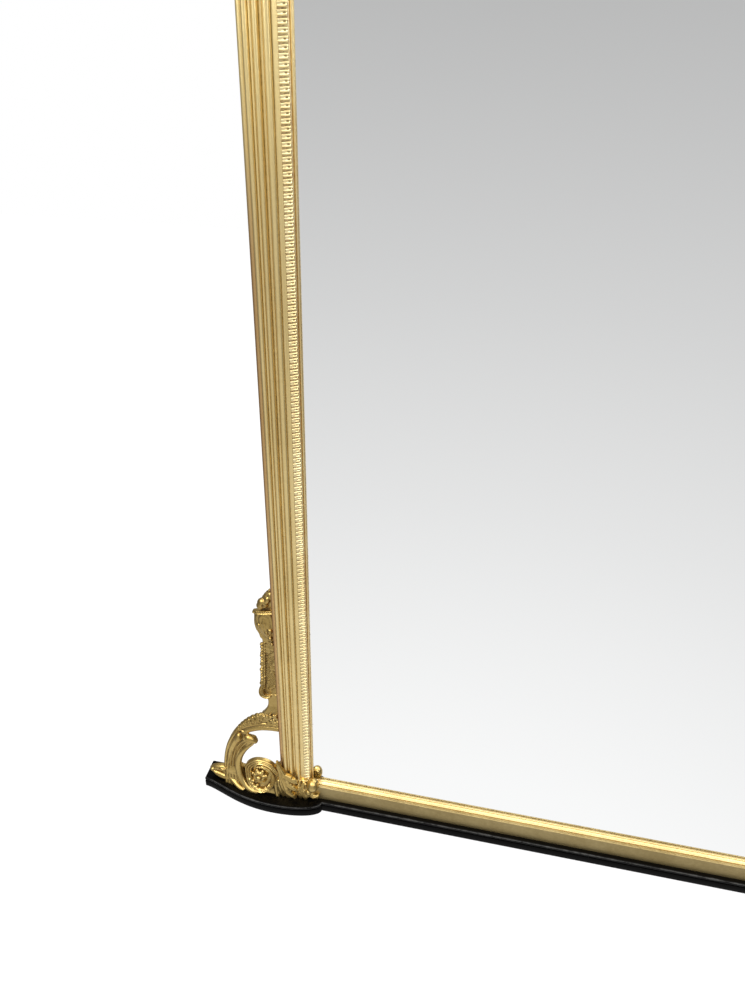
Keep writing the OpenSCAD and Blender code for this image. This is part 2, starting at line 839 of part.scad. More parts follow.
module foot_ornament(side) {
  bud_r = 12;
  bud_z = rail_top_z + bud_r;
  rail_end = sight_x + slip_w + tiny;
  step_x = sight_x + slip_w + egg_w + flat_w;
  // petals, as places beyond the rail's end and above the plinth with their radii
  petals = [[10, 15, 14], [24, 24, 14], [28, 9, 10], [11, 36, 12], [24, 40, 8]];
  color(gilt) on(side) difference() {
    union() {
      face_on(flat_d, reed_d + 4) union() {
        intersection() {
          for (p = petals) translate([rail_end + p[0], plinth_t + p[1]]) circle(p[2]);
          translate([rail_end, plinth_t]) square([egg_w + flat_w + 14, 80]);
        }
        translate([rail_end - 2, bud_z]) circle(bud_r * 0.6);
      }
      translate([sight_x - 3, centre_d / 2 - rail_d, bud_z]) sphere(bud_r);
    }
    // clear of the inner reed and the middle reed
    face_on(flat_d - 1, reed_inner_d + tiny) translate([step_x, 0]) square([stile_w, frame_top]);
    face_on(flat_d - 1, reed_d + tiny) translate([step_x + reed_inner_w + fillet_w, 0])
      square([stile_w, frame_top]);
  }
}

// ---- crest, drawn from the middle of the frame's top edge ----

module at_crest() {
  translate([0, frame_top]) children();
}

// height and reach that the crest's outlines are drawn at
drawn_crest_h = 188;
drawn_crest_reach = 520;
crest_k = crest_h / drawn_crest_h;
cabochon_z = 84 * crest_k;
plume_z = 126 * crest_k;
cabochon_bed_d = reed_d + 8;
cartouche_half = stretched([
  [0, -40], [34, -26], [52, 0], [96, 8], [118, 40], [96, 70], [104, 104], [70, 122], [48, 150], [0, 160]
], crest_k, crest_k);
cartouche_outline = concat(
  cartouche_half,
  [for (i = [len(cartouche_half) - 2:-1:1]) [-cartouche_half[i][0], cartouche_half[i][1]]]
);

module crest_cartouche() {
  color(gilt) difference() {
    union() {
      face_on(crest_back_d, cartouche_d) at_crest() intersection() {
        polygon(rounded(cartouche_outline));
        translate([-frame_w / 2, 0]) square([frame_w, crest_h]);
      }
      // the leaf that hangs over the frame's moulding, clear of the reeds
      face_on(reed_d + tiny, reed_d + 12) at_crest() polygon(rounded(cartouche_outline));
      face_on(cartouche_d - 1, reed_d + 1) at_crest() intersection() {
        polygon(rounded(cartouche_outline));
        translate([-frame_w / 2, tiny]) square([frame_w, crest_h]);
      }
    }
    // sunk bed for the cabochon
    face_on(cabochon_bed_d, reed_d + 13) at_crest() translate([0, cabochon_z]) circle(cabochon_r * 1.6);
    crest_screw_shanks(fixing_fit);
  }
}

module crest_cabochon() {
  color(gilt) intersection() {
    hull() {
      for (s = [-1, 1])
        translate([0, centre_d / 2 - cabochon_bed_d, frame_top + cabochon_z + s * cabochon_r * 0.4])
          sphere(cabochon_r, $fn = 32);
    }
    face_on(cabochon_bed_d, cabochon_bed_d + cabochon_r * 0.8) at_crest()
      translate([-100, 0]) square([200, crest_h]);
  }
}

module crest_plume() {
  lobes = 7;
  lobe_r = 9;
  color(gilt) face_on(reed_d + 12, reed_d + 22) at_crest() translate([0, plume_z]) union() {
    for (i = [0:lobes - 1]) {
      from_middle = i - (lobes - 1) / 2;
      a = 90 + from_middle * 24;
      reach = (crest_h - plume_z - lobe_r) * (1 - 0.12 * abs(from_middle));
      tip = reach * [cos(a), sin(a)];
      cheek = reach * 0.6;
      polygon(rounded([
        [0, 0], cheek * [cos(a - 13), sin(a - 13)], tip, cheek * [cos(a + 13), sin(a + 13)]
      ]));
      translate(tip) circle(lobe_r - abs(from_middle));
    }
  }
}

module crest_scroll(side) {
  kx = crest_reach / drawn_crest_reach;
  turn_x = 322 * kx;
  turn_z = 50 * crest_k;
  turn = spiral(turn_x, turn_z, 40 * crest_k, 14 * crest_k, -92, 280, 36);
  stem = stretched([[88, 92], [130, 92], [180, 70], [236, 30], [286, 14]], kx, crest_k);
  tail = [[326, 2], [460, -6], [520, 4], [460, 24], [382, 42], [352, 30]];
  sprig = [[140, 84], [200, 52], [250, 66], [282, 98], [240, 92], [196, 104]];
  color(gilt) on(side) face_on(crest_back_d + 4, crest_face_d) at_crest() difference() {
    intersection() {
      union() {
        // the main stem, out from the cartouche and round its volute
        polygon(ribbon(concat(flowing(stem), turn), 14, 11, 5));
        translate([turn_x, turn_z]) circle(12);
        // the tail leaf that lies along the frame
        polygon(rounded(stretched(tail, kx, crest_k)));
        // the small leaf above the stem
        polygon(rounded(stretched(sprig, kx, crest_k)));
      }
      square([crest_reach, crest_h]);
    }
    polygon(rounded(cartouche_outline));
  }
}

module crest_batten() {
  batten_foot_z = -stile_w + board_edge + 1;
  batten_head_z = 130;
  color(pine) difference() {
    face_on(back_gap - batten_t, back_gap) at_crest()
      translate([-crest_batten_w / 2, batten_foot_z]) square([crest_batten_w, batten_head_z - batten_foot_z]);
    crest_screw_shanks(fixing_fit);
  }
}

module crest_screws() {
  color(iron) union() {
    crest_screw_shanks();
    for (s = [-1, 1], z = crest_screw_zs())
      pin_y(s * crest_batten_w / 4, z, back_gap - batten_t - 0.9, back_gap - batten_t, board_screw_dia);
  }
}

plinth_centre();
plinth_end("left");  // plinth_end_left
plinth_end("right");  // plinth_end_right
plinth_dowels();
plinth_screws();
bottom_rail();
stile("left");  // stile_left
stile("right");  // stile_right
corner("left");  // corner_left
corner("right");  // corner_right
top_rail();
frame_dowels();
slip_bottom();
side_slip("left");  // slip_left
side_slip("right");  // slip_right
corner_slip("left");  // slip_corner_left
corner_slip("right");  // slip_corner_right
slip_top();
egg_strip("left");  // egg_strip_left
egg_strip("right");  // egg_strip_right
egg_strip_corner("left");  // egg_strip_corner_left
egg_strip_corner("right");  // egg_strip_corner_right
egg_strip_top();
mirror_plate();
setting_blocks();
glazing_blocks();
backboard(0);  // backboard_1
backboard(1);  // backboard_2
backboard(2);  // backboard_3
backboard(3);  // backboard_4
backboard(4);  // backboard_5
backboard_screws();
batten(batten_low_z);  // batten_lower
batten(batten_high_z);  // batten_upper
batten_screws();
hanger_strap("left");  // hanger_strap_left
hanger_strap("right");  // hanger_strap_right
hanger_ring("left");  // hanger_ring_left
hanger_ring("right");  // hanger_ring_right
hanger_screws();
scroll_bracket("left");  // scroll_bracket_left
scroll_bracket("right");  // scroll_bracket_right
bracket_console("left");  // bracket_console_left
bracket_console("right");  // bracket_console_right
bracket_rosette("left");  // bracket_rosette_left
bracket_rosette("right");  // bracket_rosette_right
bracket_leaf("left");  // bracket_leaf_left
bracket_leaf("right");  // bracket_leaf_right
foot_ornament("left");  // foot_ornament_left
foot_ornament("right");  // foot_ornament_right
crest_cartouche();
crest_cabochon();
crest_plume();
crest_scroll("left");  // crest_scroll_left
crest_scroll("right");  // crest_scroll_right
crest_batten();
crest_screws();
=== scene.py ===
"""Looks of a gilt overmantel mirror on an ebonised plinth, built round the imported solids.

Every length that a drawing gives is in millimetres; meshes are made in metres. Carvings are drawn
face on: "out" runs away from the middle, "up" runs up, and "depth" is how far forward of the wall.
"""

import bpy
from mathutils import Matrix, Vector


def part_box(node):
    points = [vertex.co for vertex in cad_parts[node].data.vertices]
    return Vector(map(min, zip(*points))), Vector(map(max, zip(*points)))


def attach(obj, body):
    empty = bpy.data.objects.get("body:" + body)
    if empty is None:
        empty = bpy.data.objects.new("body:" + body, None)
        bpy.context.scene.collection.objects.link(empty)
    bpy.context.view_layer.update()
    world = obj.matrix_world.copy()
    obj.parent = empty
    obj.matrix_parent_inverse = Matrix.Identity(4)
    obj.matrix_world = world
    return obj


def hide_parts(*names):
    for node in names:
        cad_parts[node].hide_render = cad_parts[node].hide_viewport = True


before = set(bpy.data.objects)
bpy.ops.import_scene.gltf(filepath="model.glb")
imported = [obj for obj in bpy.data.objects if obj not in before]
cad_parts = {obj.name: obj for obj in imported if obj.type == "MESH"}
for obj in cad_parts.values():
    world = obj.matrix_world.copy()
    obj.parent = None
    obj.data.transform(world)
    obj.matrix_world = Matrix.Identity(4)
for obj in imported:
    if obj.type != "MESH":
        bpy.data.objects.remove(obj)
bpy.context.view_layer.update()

import logging
import math
from dataclasses import dataclass
from enum import Enum
from typing import Callable, NamedTuple, Optional, Sequence, Union

import bpy
import numpy as np
from mathutils import Matrix, Vector

log = logging.getLogger("overmantel")
MM = 0.001
MAIN_BODY = "mirror_frame"
Colour = tuple[float, float, float]
Row = tuple[float, ...]
Pattern = Callable[[np.ndarray, np.ndarray, np.ndarray], np.ndarray]
Skin = tuple[np.ndarray, np.ndarray, np.ndarray]
Window = tuple[slice, slice]
Obj = bpy.types.Object
SIDES = ((-1, "left"), (1, "right"))


# ---------------------------------------------------------------- shader maths


class Signal:
    """A socket of a shader tree that Python's operators work on."""

    def __init__(self, recipe: "Recipe", socket: bpy.types.NodeSocket) -> None:
        """Keeps the socket and the recipe that its node belongs to."""
        self.recipe = recipe
        self.socket = socket

    def _math(self, operation: str, *values: "Value") -> "Signal":
        """Adds one Math node to the recipe."""
        return self.recipe.out("ShaderNodeMath", {"operation": operation}, dict(enumerate(values)))

    def __add__(self, other: "Value") -> "Signal":
        """self + other."""
        return self._math("ADD", self, other)

    def __radd__(self, other: "Value") -> "Signal":
        """other + self."""
        return self._math("ADD", other, self)

    def __sub__(self, other: "Value") -> "Signal":
        """self - other."""
        return self._math("SUBTRACT", self, other)

    def __rsub__(self, other: "Value") -> "Signal":
        """other - self."""
        return self._math("SUBTRACT", other, self)

    def __mul__(self, other: "Value") -> "Signal":
        """self * other."""
        return self._math("MULTIPLY", self, other)

    def __pow__(self, other: "Value") -> "Signal":
        """self ** other."""
        return self._math("POWER", self, other)

    def larger(self, other: "Value") -> "Signal":
        """The larger of the two."""
        return self._math("MAXIMUM", self, other)

    def sine(self) -> "Signal":
        """Sine of the value."""
        return self._math("SINE", self)

    def size(self) -> "Signal":
        """The value without its sign."""
        return self._math("ABSOLUTE", self)

    def ease(self, low: float, high: float) -> "Signal":
        """0 below low, 1 above high, and a smooth step between.

        Args:
            low: where the step begins.
            high: where it ends.
        Returns:
            The step.
        """
        return self.recipe.out(
            "ShaderNodeMapRange",
            {"interpolation_type": "SMOOTHSTEP"},
            {"Value": self, "From Min": low, "From Max": high},
        )


Value = Union[float, Signal]


class Recipe:
    """A shader tree that is written as expressions."""

    def __init__(self, tree: bpy.types.NodeTree) -> None:
        """Empties the tree."""
        self.tree = tree
        tree.nodes.clear()

    def node(
        self, kind: str, settings: Optional[dict] = None, values: Optional[dict] = None
    ) -> bpy.types.Node:
        """Adds a node.

        Args:
            kind: the node's type.
            settings: its properties, set first; "stops" holds a ramp's (place, colour) pairs.
            values: numbers, colours or signals of its sockets, by name or place.
        Returns:
            The node.
        """
        made = self.tree.nodes.new(kind)
        for name, value in (settings or {}).items():
            if name == "stops":
                self._ramp(made.color_ramp, value)
            else:
                setattr(made, name, value)
        for key, value in (values or {}).items():
            socket = made.inputs[key]
            if isinstance(value, Signal):
                self.tree.links.new(value.socket, socket)
            else:
                wide = socket.type == "RGBA" and len(value) == 3
                socket.default_value = (*value, 1.0) if wide else value
        return made

    @staticmethod
    def _ramp(ramp: bpy.types.ColorRamp, stops: Sequence[tuple[float, Colour]]) -> None:
        """Fills a colour ramp.

        Args:
            ramp: the ramp.
            stops: its places and colours.
        """
        while len(ramp.elements) < len(stops):
            ramp.elements.new(0.5)
        for element, (place, colour) in zip(ramp.elements, stops):
            element.position = place
            element.color = (*colour, 1.0)

    def out(
        self, kind: str, settings: Optional[dict] = None, values: Optional[dict] = None,
        output: Union[int, str] = 0,
    ) -> Signal:
        """Adds a node and gives one of its outputs."""
        return Signal(self, self.node(kind, settings, values).outputs[output])

    def place(self) -> Signal:
        """Object coordinates."""
        return self.out("ShaderNodeTexCoord", output="Object")

    def stretched(
        self, scale: Row, source: Optional[Signal] = None, turn: Row = (0, 0, 0)
    ) -> Signal:
        """Coordinates scaled along each axis."""
        return self.out(
            "ShaderNodeMapping",
            values={"Vector": source or self.place(), "Scale": scale, "Rotation": turn},
        )

    def noise(
        self, scale: float, detail: float = 3.0, rough: float = 0.5, at: Optional[Signal] = None,
        bend: float = 0.0,
    ) -> Signal:
        """Noise between 0 and 1."""
        values = {
            "Vector": at or self.place(), "Scale": scale, "Detail": detail, "Roughness": rough,
            "Distortion": bend
        }
        return self.out("ShaderNodeTexNoise", values=values)

    def attribute(self, name: str) -> Signal:
        """A number kept on the mesh."""
        return self.out("ShaderNodeAttribute", {"attribute_name": name}, output="Fac")

    def mixed(
        self, amount: Value, first: Union[Colour, Signal], second: Union[Colour, Signal],
        how: str = "MIX",
    ) -> Signal:
        """Two colours mixed."""
        values = {0: amount, 6: first, 7: second}
        return self.out(
            "ShaderNodeMix", {"data_type": "RGBA", "blend_type": how, "clamp_result": False},
            values, output=2,
        )

    def bump(self, height: Signal, distance: float, strength: float = 1.0) -> Signal:
        """A normal raised by a height."""
        return self.out(
            "ShaderNodeBump", values={"Height": height, "Distance": distance, "Strength": strength},
            output="Normal",
        )

    def surface(self, **values: object) -> None:
        """Ends the tree in a Principled shader; an underscore in a name stands for a space."""
        shader = self.out(
            "ShaderNodeBsdfPrincipled", values={k.replace("_", " "): v for k, v in values.items()}
        )
        self.node("ShaderNodeOutputMaterial", values={"Surface": shader})


def new_material(name: str) -> tuple[bpy.types.Material, Recipe]:
    """An empty material and its recipe.

    Args:
        name: its name.
    Returns:
        The material and the recipe.
    """
    material = bpy.data.materials.new(name)
    material.use_nodes = True
    return material, Recipe(material.node_tree)


# ---------------------------------------------------------------- finishes


@dataclass(frozen=True)
class Gilding:
    """Gold leaf over red bole and gesso, with grime and painted shade in its hollows and painted
    shade lower down.

    "hollow" on the mesh is above 0 in hollows and below 0 along edges. "Run" is a UV map that
    follows a moulding: across it first, then along it.
    """

    name: str
    leaf: Colour = (0.92, 0.71, 0.32)
    deep: Colour = (0.68, 0.45, 0.12)
    bole: Colour = (0.33, 0.12, 0.04)
    # colour of the grime and of the painted shade in the hollows
    grime_and_shade: Colour = (0.085, 0.042, 0.010)
    # painted shade: tint that darkens the leaf lower down
    painted_low_shade: Colour = (0.68, 0.66, 0.64)
    metal: float = 0.92
    burnish: float = 0.24
    drawn: bool = False
    hollow_from: float = 0.10
    hollow_to: float = 0.62
    # metres from the middle, and how much of the leaf turns to the bole colour there
    bole_edge: float = 0.680
    bole_edge_run: float = 0.016
    bole_edge_share: float = 0.72
    # metres above the floor
    dull_below: float = 1.28
    bright_above: float = 1.62
    foot_from: float = 0.15
    foot_to: float = 0.34
    shade: float = 0.0
    shade_tint: Colour = (0.5, 0.47, 0.42)

    def make(self) -> bpy.types.Material:
        """Builds the material.

        Returns:
            The material.
        """
        material, r = new_material(self.name)
        broad = r.noise(7.0, 4.0, 0.6, bend=0.6)
        fine = r.noise(140.0, 4.0, 0.6)
        grain = r.noise(620.0, 2.0, 0.5)
        hollow = r.attribute("hollow")
        toned = (broad * 0.75 + fine * 0.45).ease(0.36, 0.86)
        leaf = r.mixed(toned * 0.62, self.leaf, self.deep)
        height = fine * 0.55 + grain * 0.22
        if self.drawn:
            run = r.out("ShaderNodeUVMap", {"uv_map": "Run"})
            lines = r.noise(1.0, 3.0, 0.65, at=r.stretched((900.0, 7.0, 1.0), run))
            bands = r.noise(1.0, 2.0, 0.5, at=r.stretched((300.0, 2.0, 1.0), run))
            leaf = r.mixed((lines * 0.6 + bands * 0.5).ease(0.48, 0.76) * 0.6, leaf, self.deep)
            leaf = r.mixed(bands.ease(0.62, 0.72) * 0.25, leaf, self.grime_and_shade)
            height = height + lines * 0.5
        # grime and painted shade: the hollow mask darkens the leaf and dulls its metal in grooves
        # and recesses
        soiled_and_shaded = (
            hollow + (fine - 0.5) * 0.35 + (broad - 0.5) * 0.2
        ).ease(self.hollow_from, self.hollow_to)
        # the leaf is rubbed through to the bole in patches along edges
        edge_patches = (0.0 - hollow + (fine - 0.5) * 0.9 + (broad - 0.5) * 0.5).ease(0.62, 0.95)
        # painted shade: the leaf is darker lower down; along the outer edge, lower down, it turns
        # to the bole colour
        parts = r.node("ShaderNodeSeparateXYZ", values={0: r.place()})
        x, z = (Signal(r, parts.outputs[k]) for k in "XZ")
        low = 1.0 - z.ease(self.dull_below, self.bright_above)
        leaf = r.mixed(low, leaf, self.painted_low_shade, "MULTIPLY")
        # painted shade: above its foot the leaf is darkened by shade_tint, as far up as the painted
        # shade lower down reaches
        shaded = z.ease(self.foot_from, self.foot_to) * low * self.shade
        leaf = r.mixed(shaded, leaf, self.shade_tint, "MULTIPLY")
        # the leaf turns to the bole colour along the outer edge, as far up as the painted shade
        # lower down reaches
        edge = x.size().ease(self.bole_edge, self.bole_edge + self.bole_edge_run) * low
        bare = (edge_patches * 0.55).larger(edge * self.bole_edge_share * self.drawn)
        colour = r.mixed(bare, leaf, self.bole)
        colour = r.mixed(soiled_and_shaded * 0.95, colour, self.grime_and_shade)
        r.surface(
            Base_Color=colour,
            Metallic=self.metal - soiled_and_shaded * 0.45 - edge_patches * 0.3,
            Roughness=self.burnish + fine * 0.12 + toned * 0.08 + soiled_and_shaded * 0.25,
            Normal=r.bump(height, 0.0005, 0.55),
        )
        return material


@dataclass(frozen=True)
class EbonisedWood:
    """Black stained and polished wood, with light scratches, a little dust, a painted highlight
    along the nosing's bead and painted shade in its groove.
    """

    name: str = "ebonised wood"

    def make(self) -> bpy.types.Material:
        """Builds the material.

        Returns:
            The material.
        """
        material, r = new_material(self.name)
        grain = r.noise(1.0, 5.0, 0.6, at=r.stretched((6.0, 130.0, 130.0)), bend=0.4)
        dust = r.noise(28.0, 5.0, 0.7)
        speck = r.noise(520.0, 1.0, 0.5)
        nick = r.noise(1.0, 2.0, 0.4, at=r.stretched((310.0, 40.0, 40.0), turn=(0.2, 0.1, 0.5)))
        marks = nick.ease(0.74, 0.78) * dust.ease(0.52, 0.66)
        colour = r.mixed(grain, (0.0009, 0.0008, 0.0008), (0.0028, 0.0024, 0.0022))
        colour = r.mixed(speck.ease(0.80, 0.88) * 0.2 + marks * 0.25, colour, (0.22, 0.20, 0.17))
        # painted highlight: greyer along the top of the nosing's bead, broken up by the dust
        hollow = r.attribute("hollow")
        edge_patches = (0.0 - hollow + (dust - 0.5) * 1.6 + (speck - 0.5) * 0.4).ease(0.60, 1.05)
        colour = r.mixed(edge_patches * 0.75, colour, (0.11, 0.108, 0.104))
        # painted shade: near black in the groove under the bead
        colour = r.mixed(hollow.ease(0.3, 0.9), colour, (0.0004, 0.0004, 0.0004))
        r.surface(
            Base_Color=colour,
            Roughness=0.16 + dust * 0.12 + grain * 0.06 + marks * 0.3,
            Specular_IOR_Level=0.06,
            Normal=r.bump(grain * 0.5 + dust * 0.5, 0.0004, 0.2),
        )
        return material


@dataclass(frozen=True)
class SilveredGlass:
    """Silvered plate with the faintest unevenness and a few age specks near its edge."""

    name: str = "silvered plate"
    half_width: float = 0.616
    middle: float = 0.94
    half_height: float = 0.88

    def make(self) -> bpy.types.Material:
        """Builds the material.

        Returns:
            The material.
        """
        material, r = new_material(self.name)
        parts = r.node("ShaderNodeSeparateXYZ", values={0: r.place()})
        x, z = Signal(r, parts.outputs["X"]), Signal(r, parts.outputs["Z"])
        edge = (x.size() * (1 / self.half_width)).larger(
            ((z - self.middle) * (1 / self.half_height)).size()
        )
        foxing = (r.noise(90.0, 4.0, 0.65) * edge.ease(0.975, 1.0)).ease(0.60, 0.72)
        colour = r.mixed(foxing * 0.5, (0.985, 0.99, 0.99), (0.30, 0.27, 0.24))
        r.surface(Base_Color=colour, Metallic=1.0, Roughness=0.012 + foxing * 0.4)
        return material


@dataclass(frozen=True)
class BarePine:
    """Old unpainted pine, with grain up the board or along it."""

    name: str
    pale: Colour = (0.36, 0.21, 0.095)
    dark: Colour = (0.16, 0.078, 0.03)
    along: Row = (55.0, 55.0, 1.6)

    def make(self) -> bpy.types.Material:
        """Builds the material.

        Returns:
            The material.
        """
        material, r = new_material(self.name)
        at = r.stretched(self.along)
        rings = r.noise(0.55, 3.0, 0.5, at=at, bend=1.1)
        fibre = r.noise(6.0, 4.0, 0.7, at=at)
        stain = r.noise(3.2, 5.0, 0.65)
        bars = ((rings * 60.0).sine() * 0.5 + 0.5) ** 2.2
        colour = r.mixed(bars * 0.62 + fibre * 0.25, self.pale, self.dark)
        colour = r.mixed(stain.ease(0.48, 0.78) * 0.55, colour, (0.085, 0.05, 0.028))
        r.surface(
            Base_Color=colour,
            Roughness=0.68 + fibre * 0.2,
            Specular_IOR_Level=0.3,
            Normal=r.bump(bars * 0.5 + fibre * 0.5, 0.0006, 0.6),
        )
        return material


@dataclass(frozen=True)
class AgedMetal:
    """Brass or iron fittings, dulled and spotted."""

    name: str
    bright: Colour
    dull: Colour
    rough: float = 0.34

    def make(self) -> bpy.types.Material:
        """Builds the material.

        Returns:
            The material.
        """
        material, r = new_material(self.name)
        bloom = r.noise(85.0, 5.0, 0.68)
        spots = r.noise(700.0, 2.0, 0.5)
        worn = (bloom + (spots - 0.5) * 0.4).ease(0.40, 0.68)
        r.surface(
            Base_Color=r.mixed(worn, self.bright, self.dull),
            Metallic=0.96 - worn * 0.3,
            Roughness=self.rough + worn * 0.3,
            Normal=r.bump(spots * 0.6 + bloom * 0.4, 0.0003, 0.4),
        )
        return material


class Finish(Enum):
    """The finishes of the mirror, each with the record's slot that it belongs to."""

    GILT_MOULDING = "gilt"
    GILT_CARVING = "gilt carving"
    GILT_RAIL = "gilt rail"
    GILT_SLIP = "gilt slip"
    GILT_COMPOSITION = "gilt_composition"
    EBONISED = "ebonised"
    GLASS = "silvered_glass"
    PINE = "pine"
    PINE_CROSS = "pine cross"
    IRON = "iron"
    BRASS = "brass"

    @property
    def slot(self) -> str:
        """The record's slot."""
        return self.value.split(" ")[0]


RECIPES = {
    Finish.GILT_MOULDING: Gilding(
        "gilt moulding", leaf=(0.97, 0.78, 0.38), deep=(0.76, 0.58, 0.24), painted_low_shade=(0.88, 0.86, 0.84),
        drawn=True, hollow_from=0.22, hollow_to=0.85,
    ),
    # painted shade: the carving is darker lower down and above its foot than the other gilding
    Finish.GILT_CARVING: Gilding(
        "gilt carving", leaf=(0.96, 0.72, 0.28), grime_and_shade=(0.06, 0.028, 0.008),
        painted_low_shade=(0.62, 0.60, 0.56), burnish=0.22, hollow_from=0.0, hollow_to=0.46, shade=0.45,
    ),
    # painted shade: the rail's leaf is darker than the moulding's, standing in for the dark plinth
    # and shade that its face reflects
    Finish.GILT_RAIL: Gilding(
        "gilt rail", leaf=(0.74, 0.59, 0.29), deep=(0.50, 0.37, 0.15), painted_low_shade=(0.58, 0.57, 0.55),
        burnish=0.40,
    ),
    Finish.GILT_SLIP: Gilding(
        "gilt slip", leaf=(0.95, 0.77, 0.40), deep=(0.76, 0.54, 0.20), painted_low_shade=(0.84, 0.82, 0.82)
    ),
    Finish.GILT_COMPOSITION: Gilding(
        "gilt composition", leaf=(0.98, 0.85, 0.50), deep=(0.86, 0.66, 0.28),
        grime_and_shade=(0.075, 0.038, 0.009), painted_low_shade=(0.94, 0.92, 0.90), hollow_from=0.46, hollow_to=0.92,
    ),
    Finish.EBONISED: EbonisedWood(),
    Finish.GLASS: SilveredGlass(),
    Finish.PINE: BarePine("pine boards"),
    Finish.PINE_CROSS: BarePine("pine battens", along=(1.6, 55.0, 55.0), pale=(0.40, 0.25, 0.12)),
    Finish.IRON: AgedMetal("iron screws", (0.30, 0.28, 0.26), (0.09, 0.055, 0.035), 0.42),
    Finish.BRASS: AgedMetal("brass fittings", (0.62, 0.44, 0.17), (0.24, 0.15, 0.06)),
}


# ---------------------------------------------------------------- places and meshes


@dataclass(frozen=True)
class Datum:
    """Where the frame's main faces are, in millimetres."""

    wall: float
    stile_edge: float
    sight_x: float
    plinth_top: float
    frame_top: float
    spring_z: float
    corner_x: float
    joint_x: float

    @classmethod
    def read(cls) -> "Datum":
        """Reads the places from the solids.

        Returns:
            The places.
        """
        stile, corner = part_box("stile_right"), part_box("corner_right")
        return cls(
            wall=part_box("plinth_centre")[1].y / MM,
            stile_edge=stile[1].x / MM,
            sight_x=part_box("slip_right")[0].x / MM,
            plinth_top=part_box("plinth_centre")[1].z / MM,
            frame_top=corner[1].z / MM,
            spring_z=corner[0].z / MM,
            corner_x=corner[0].x / MM,
            joint_x=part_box("plinth_centre")[1].x / MM,
        )


DATUM = Datum.read()


def linked(name: str, data: Optional[bpy.types.ID]) -> Obj:
    """An object at the origin, put into the scene.

    Args:
        name: the object's name.
        data: its mesh, lamp or camera.
    Returns:
        The object.
    """
    made = bpy.data.objects.new(name, data)
    bpy.context.scene.collection.objects.link(made)
    return made


def worked_out(source: Obj) -> bpy.types.Mesh:
    """The mesh that an object's modifiers make."""
    evaluated = source.evaluated_get(bpy.context.evaluated_depsgraph_get())
    return bpy.data.meshes.new_from_object(evaluated)


def mesh_object(name: str, points: np.ndarray, faces: Sequence, smooth: float = 35.0) -> Obj:
    """A mesh object at the origin.

    Args:
        name: the piece's name.
        points: places in metres.
        faces: rows of vertex numbers.
        smooth: edges sharper than this angle, in degrees, stay sharp.
    Returns:
        The linked object.
    """
    mesh = bpy.data.meshes.new(name)
    mesh.from_pydata(
        np.asarray(points, float).tolist(), [], [tuple(int(i) for i in f) for f in faces]
    )
    mesh.update()
    mesh.shade_smooth()
    if smooth < 180:
        mesh.set_sharp_from_angle(angle=math.radians(smooth))
    return linked(name, mesh)


def keep_number(mesh: bpy.types.Mesh, name: str, values: np.ndarray) -> None:
    """Keeps one number for each vertex."""
    numbers = mesh.attributes.new(name, "FLOAT", "POINT")
    numbers.data.foreach_set("value", np.asarray(values, np.float32))


def polar(centre: Row, radius: float, angle: float) -> Row:
    """The point at an angle, in radians, on a circle."""
    return centre[0] + radius * math.cos(angle), centre[1] + radius * math.sin(angle)


class Repeater:
    """A Geometry Nodes tree that sets one shape many times; objects are run through it singly."""

    def __init__(self, name: str, inputs: dict[str, str], output: str) -> None:
        """Makes the tree and its sockets.

        Args:
            name: the tree's name.
            inputs: name and kind of each input; the first is the object's own geometry.
            output: name of the geometry that comes out.
        """
        self.tree = bpy.data.node_groups.new(name, "GeometryNodeTree")
        for socket, kind in inputs.items():
            self.tree.interface.new_socket(socket, in_out="INPUT", socket_type=f"NodeSocket{kind}")
        self.tree.interface.new_socket(output, in_out="OUTPUT", socket_type="NodeSocketGeometry")

    def add(self, *kinds: str) -> list[bpy.types.Node]:
        """Adds one node of each kind."""
        return [self.tree.nodes.new(kind) for kind in kinds]

    def link(self, *links: tuple) -> None:
        """Joins nodes, each link given as (node, its output, node, its input)."""
        for source, output, target, entry in links:
            self.tree.links.new(source.outputs[output], target.inputs[entry])

    def run(self, name: str, base: Obj, **values: object) -> Obj:
        """Runs an object through the tree.

        Args:
            name: name of what comes out.
            base: the object, which goes.
            values: what the tree's other inputs are set to.
        Returns:
            The object that comes out.
        """
        modifier = base.modifiers.new(self.tree.name, "NODES")
        modifier.node_group = self.tree
        for socket in self.tree.interface.items_tree:
            if socket.name in values:
                modifier[socket.identifier] = values[socket.name]
        made = linked(name, worked_out(base))
        bpy.data.objects.remove(base)
        return made


class Workshop:
    """Fits finished pieces to the frame and dresses the solids that stay."""

    def __init__(self) -> None:
        """Makes every finish once."""
        self.materials = {finish: recipe.make() for finish, recipe in RECIPES.items()}

    def fit(self, piece: Obj, finish: Finish, *nodes: str, body: str = MAIN_BODY) -> None:
        """Gives a piece its finish, its body and the solids that it stands for.

        Args:
            piece: the piece, in place.
            finish: its finish.
            nodes: the solids that it replaces.
            body: the body that it rides on.
        """
        piece.data.materials.clear()
        piece.data.materials.append(self.materials[finish])
        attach(piece, body)
        if nodes:
            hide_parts(*nodes)
        log.info("%s: %d faces", piece.name, len(piece.data.polygons))

    def dress(self, finish: Finish, *nodes: str) -> None:
        """Gives solids that stay their finish.

        Args:
            finish: their finish.
            nodes: the solids.
        """
        for name in nodes:
            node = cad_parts[name]
            for material_slot in node.material_slots:
                material_slot.link = "OBJECT"
                material_slot.material = self.materials[finish]
            log.info("%s: dressed as %s", name, finish.value)


# ---------------------------------------------------------------- mouldings


def arc_points(centre: Row, radius: float, start: float, end: float, steps: int) -> list[Row]:
    """Points round an arc, angles in degrees."""
    return [polar(centre, radius, t) for t in np.radians(np.linspace(start, end, steps + 1))]


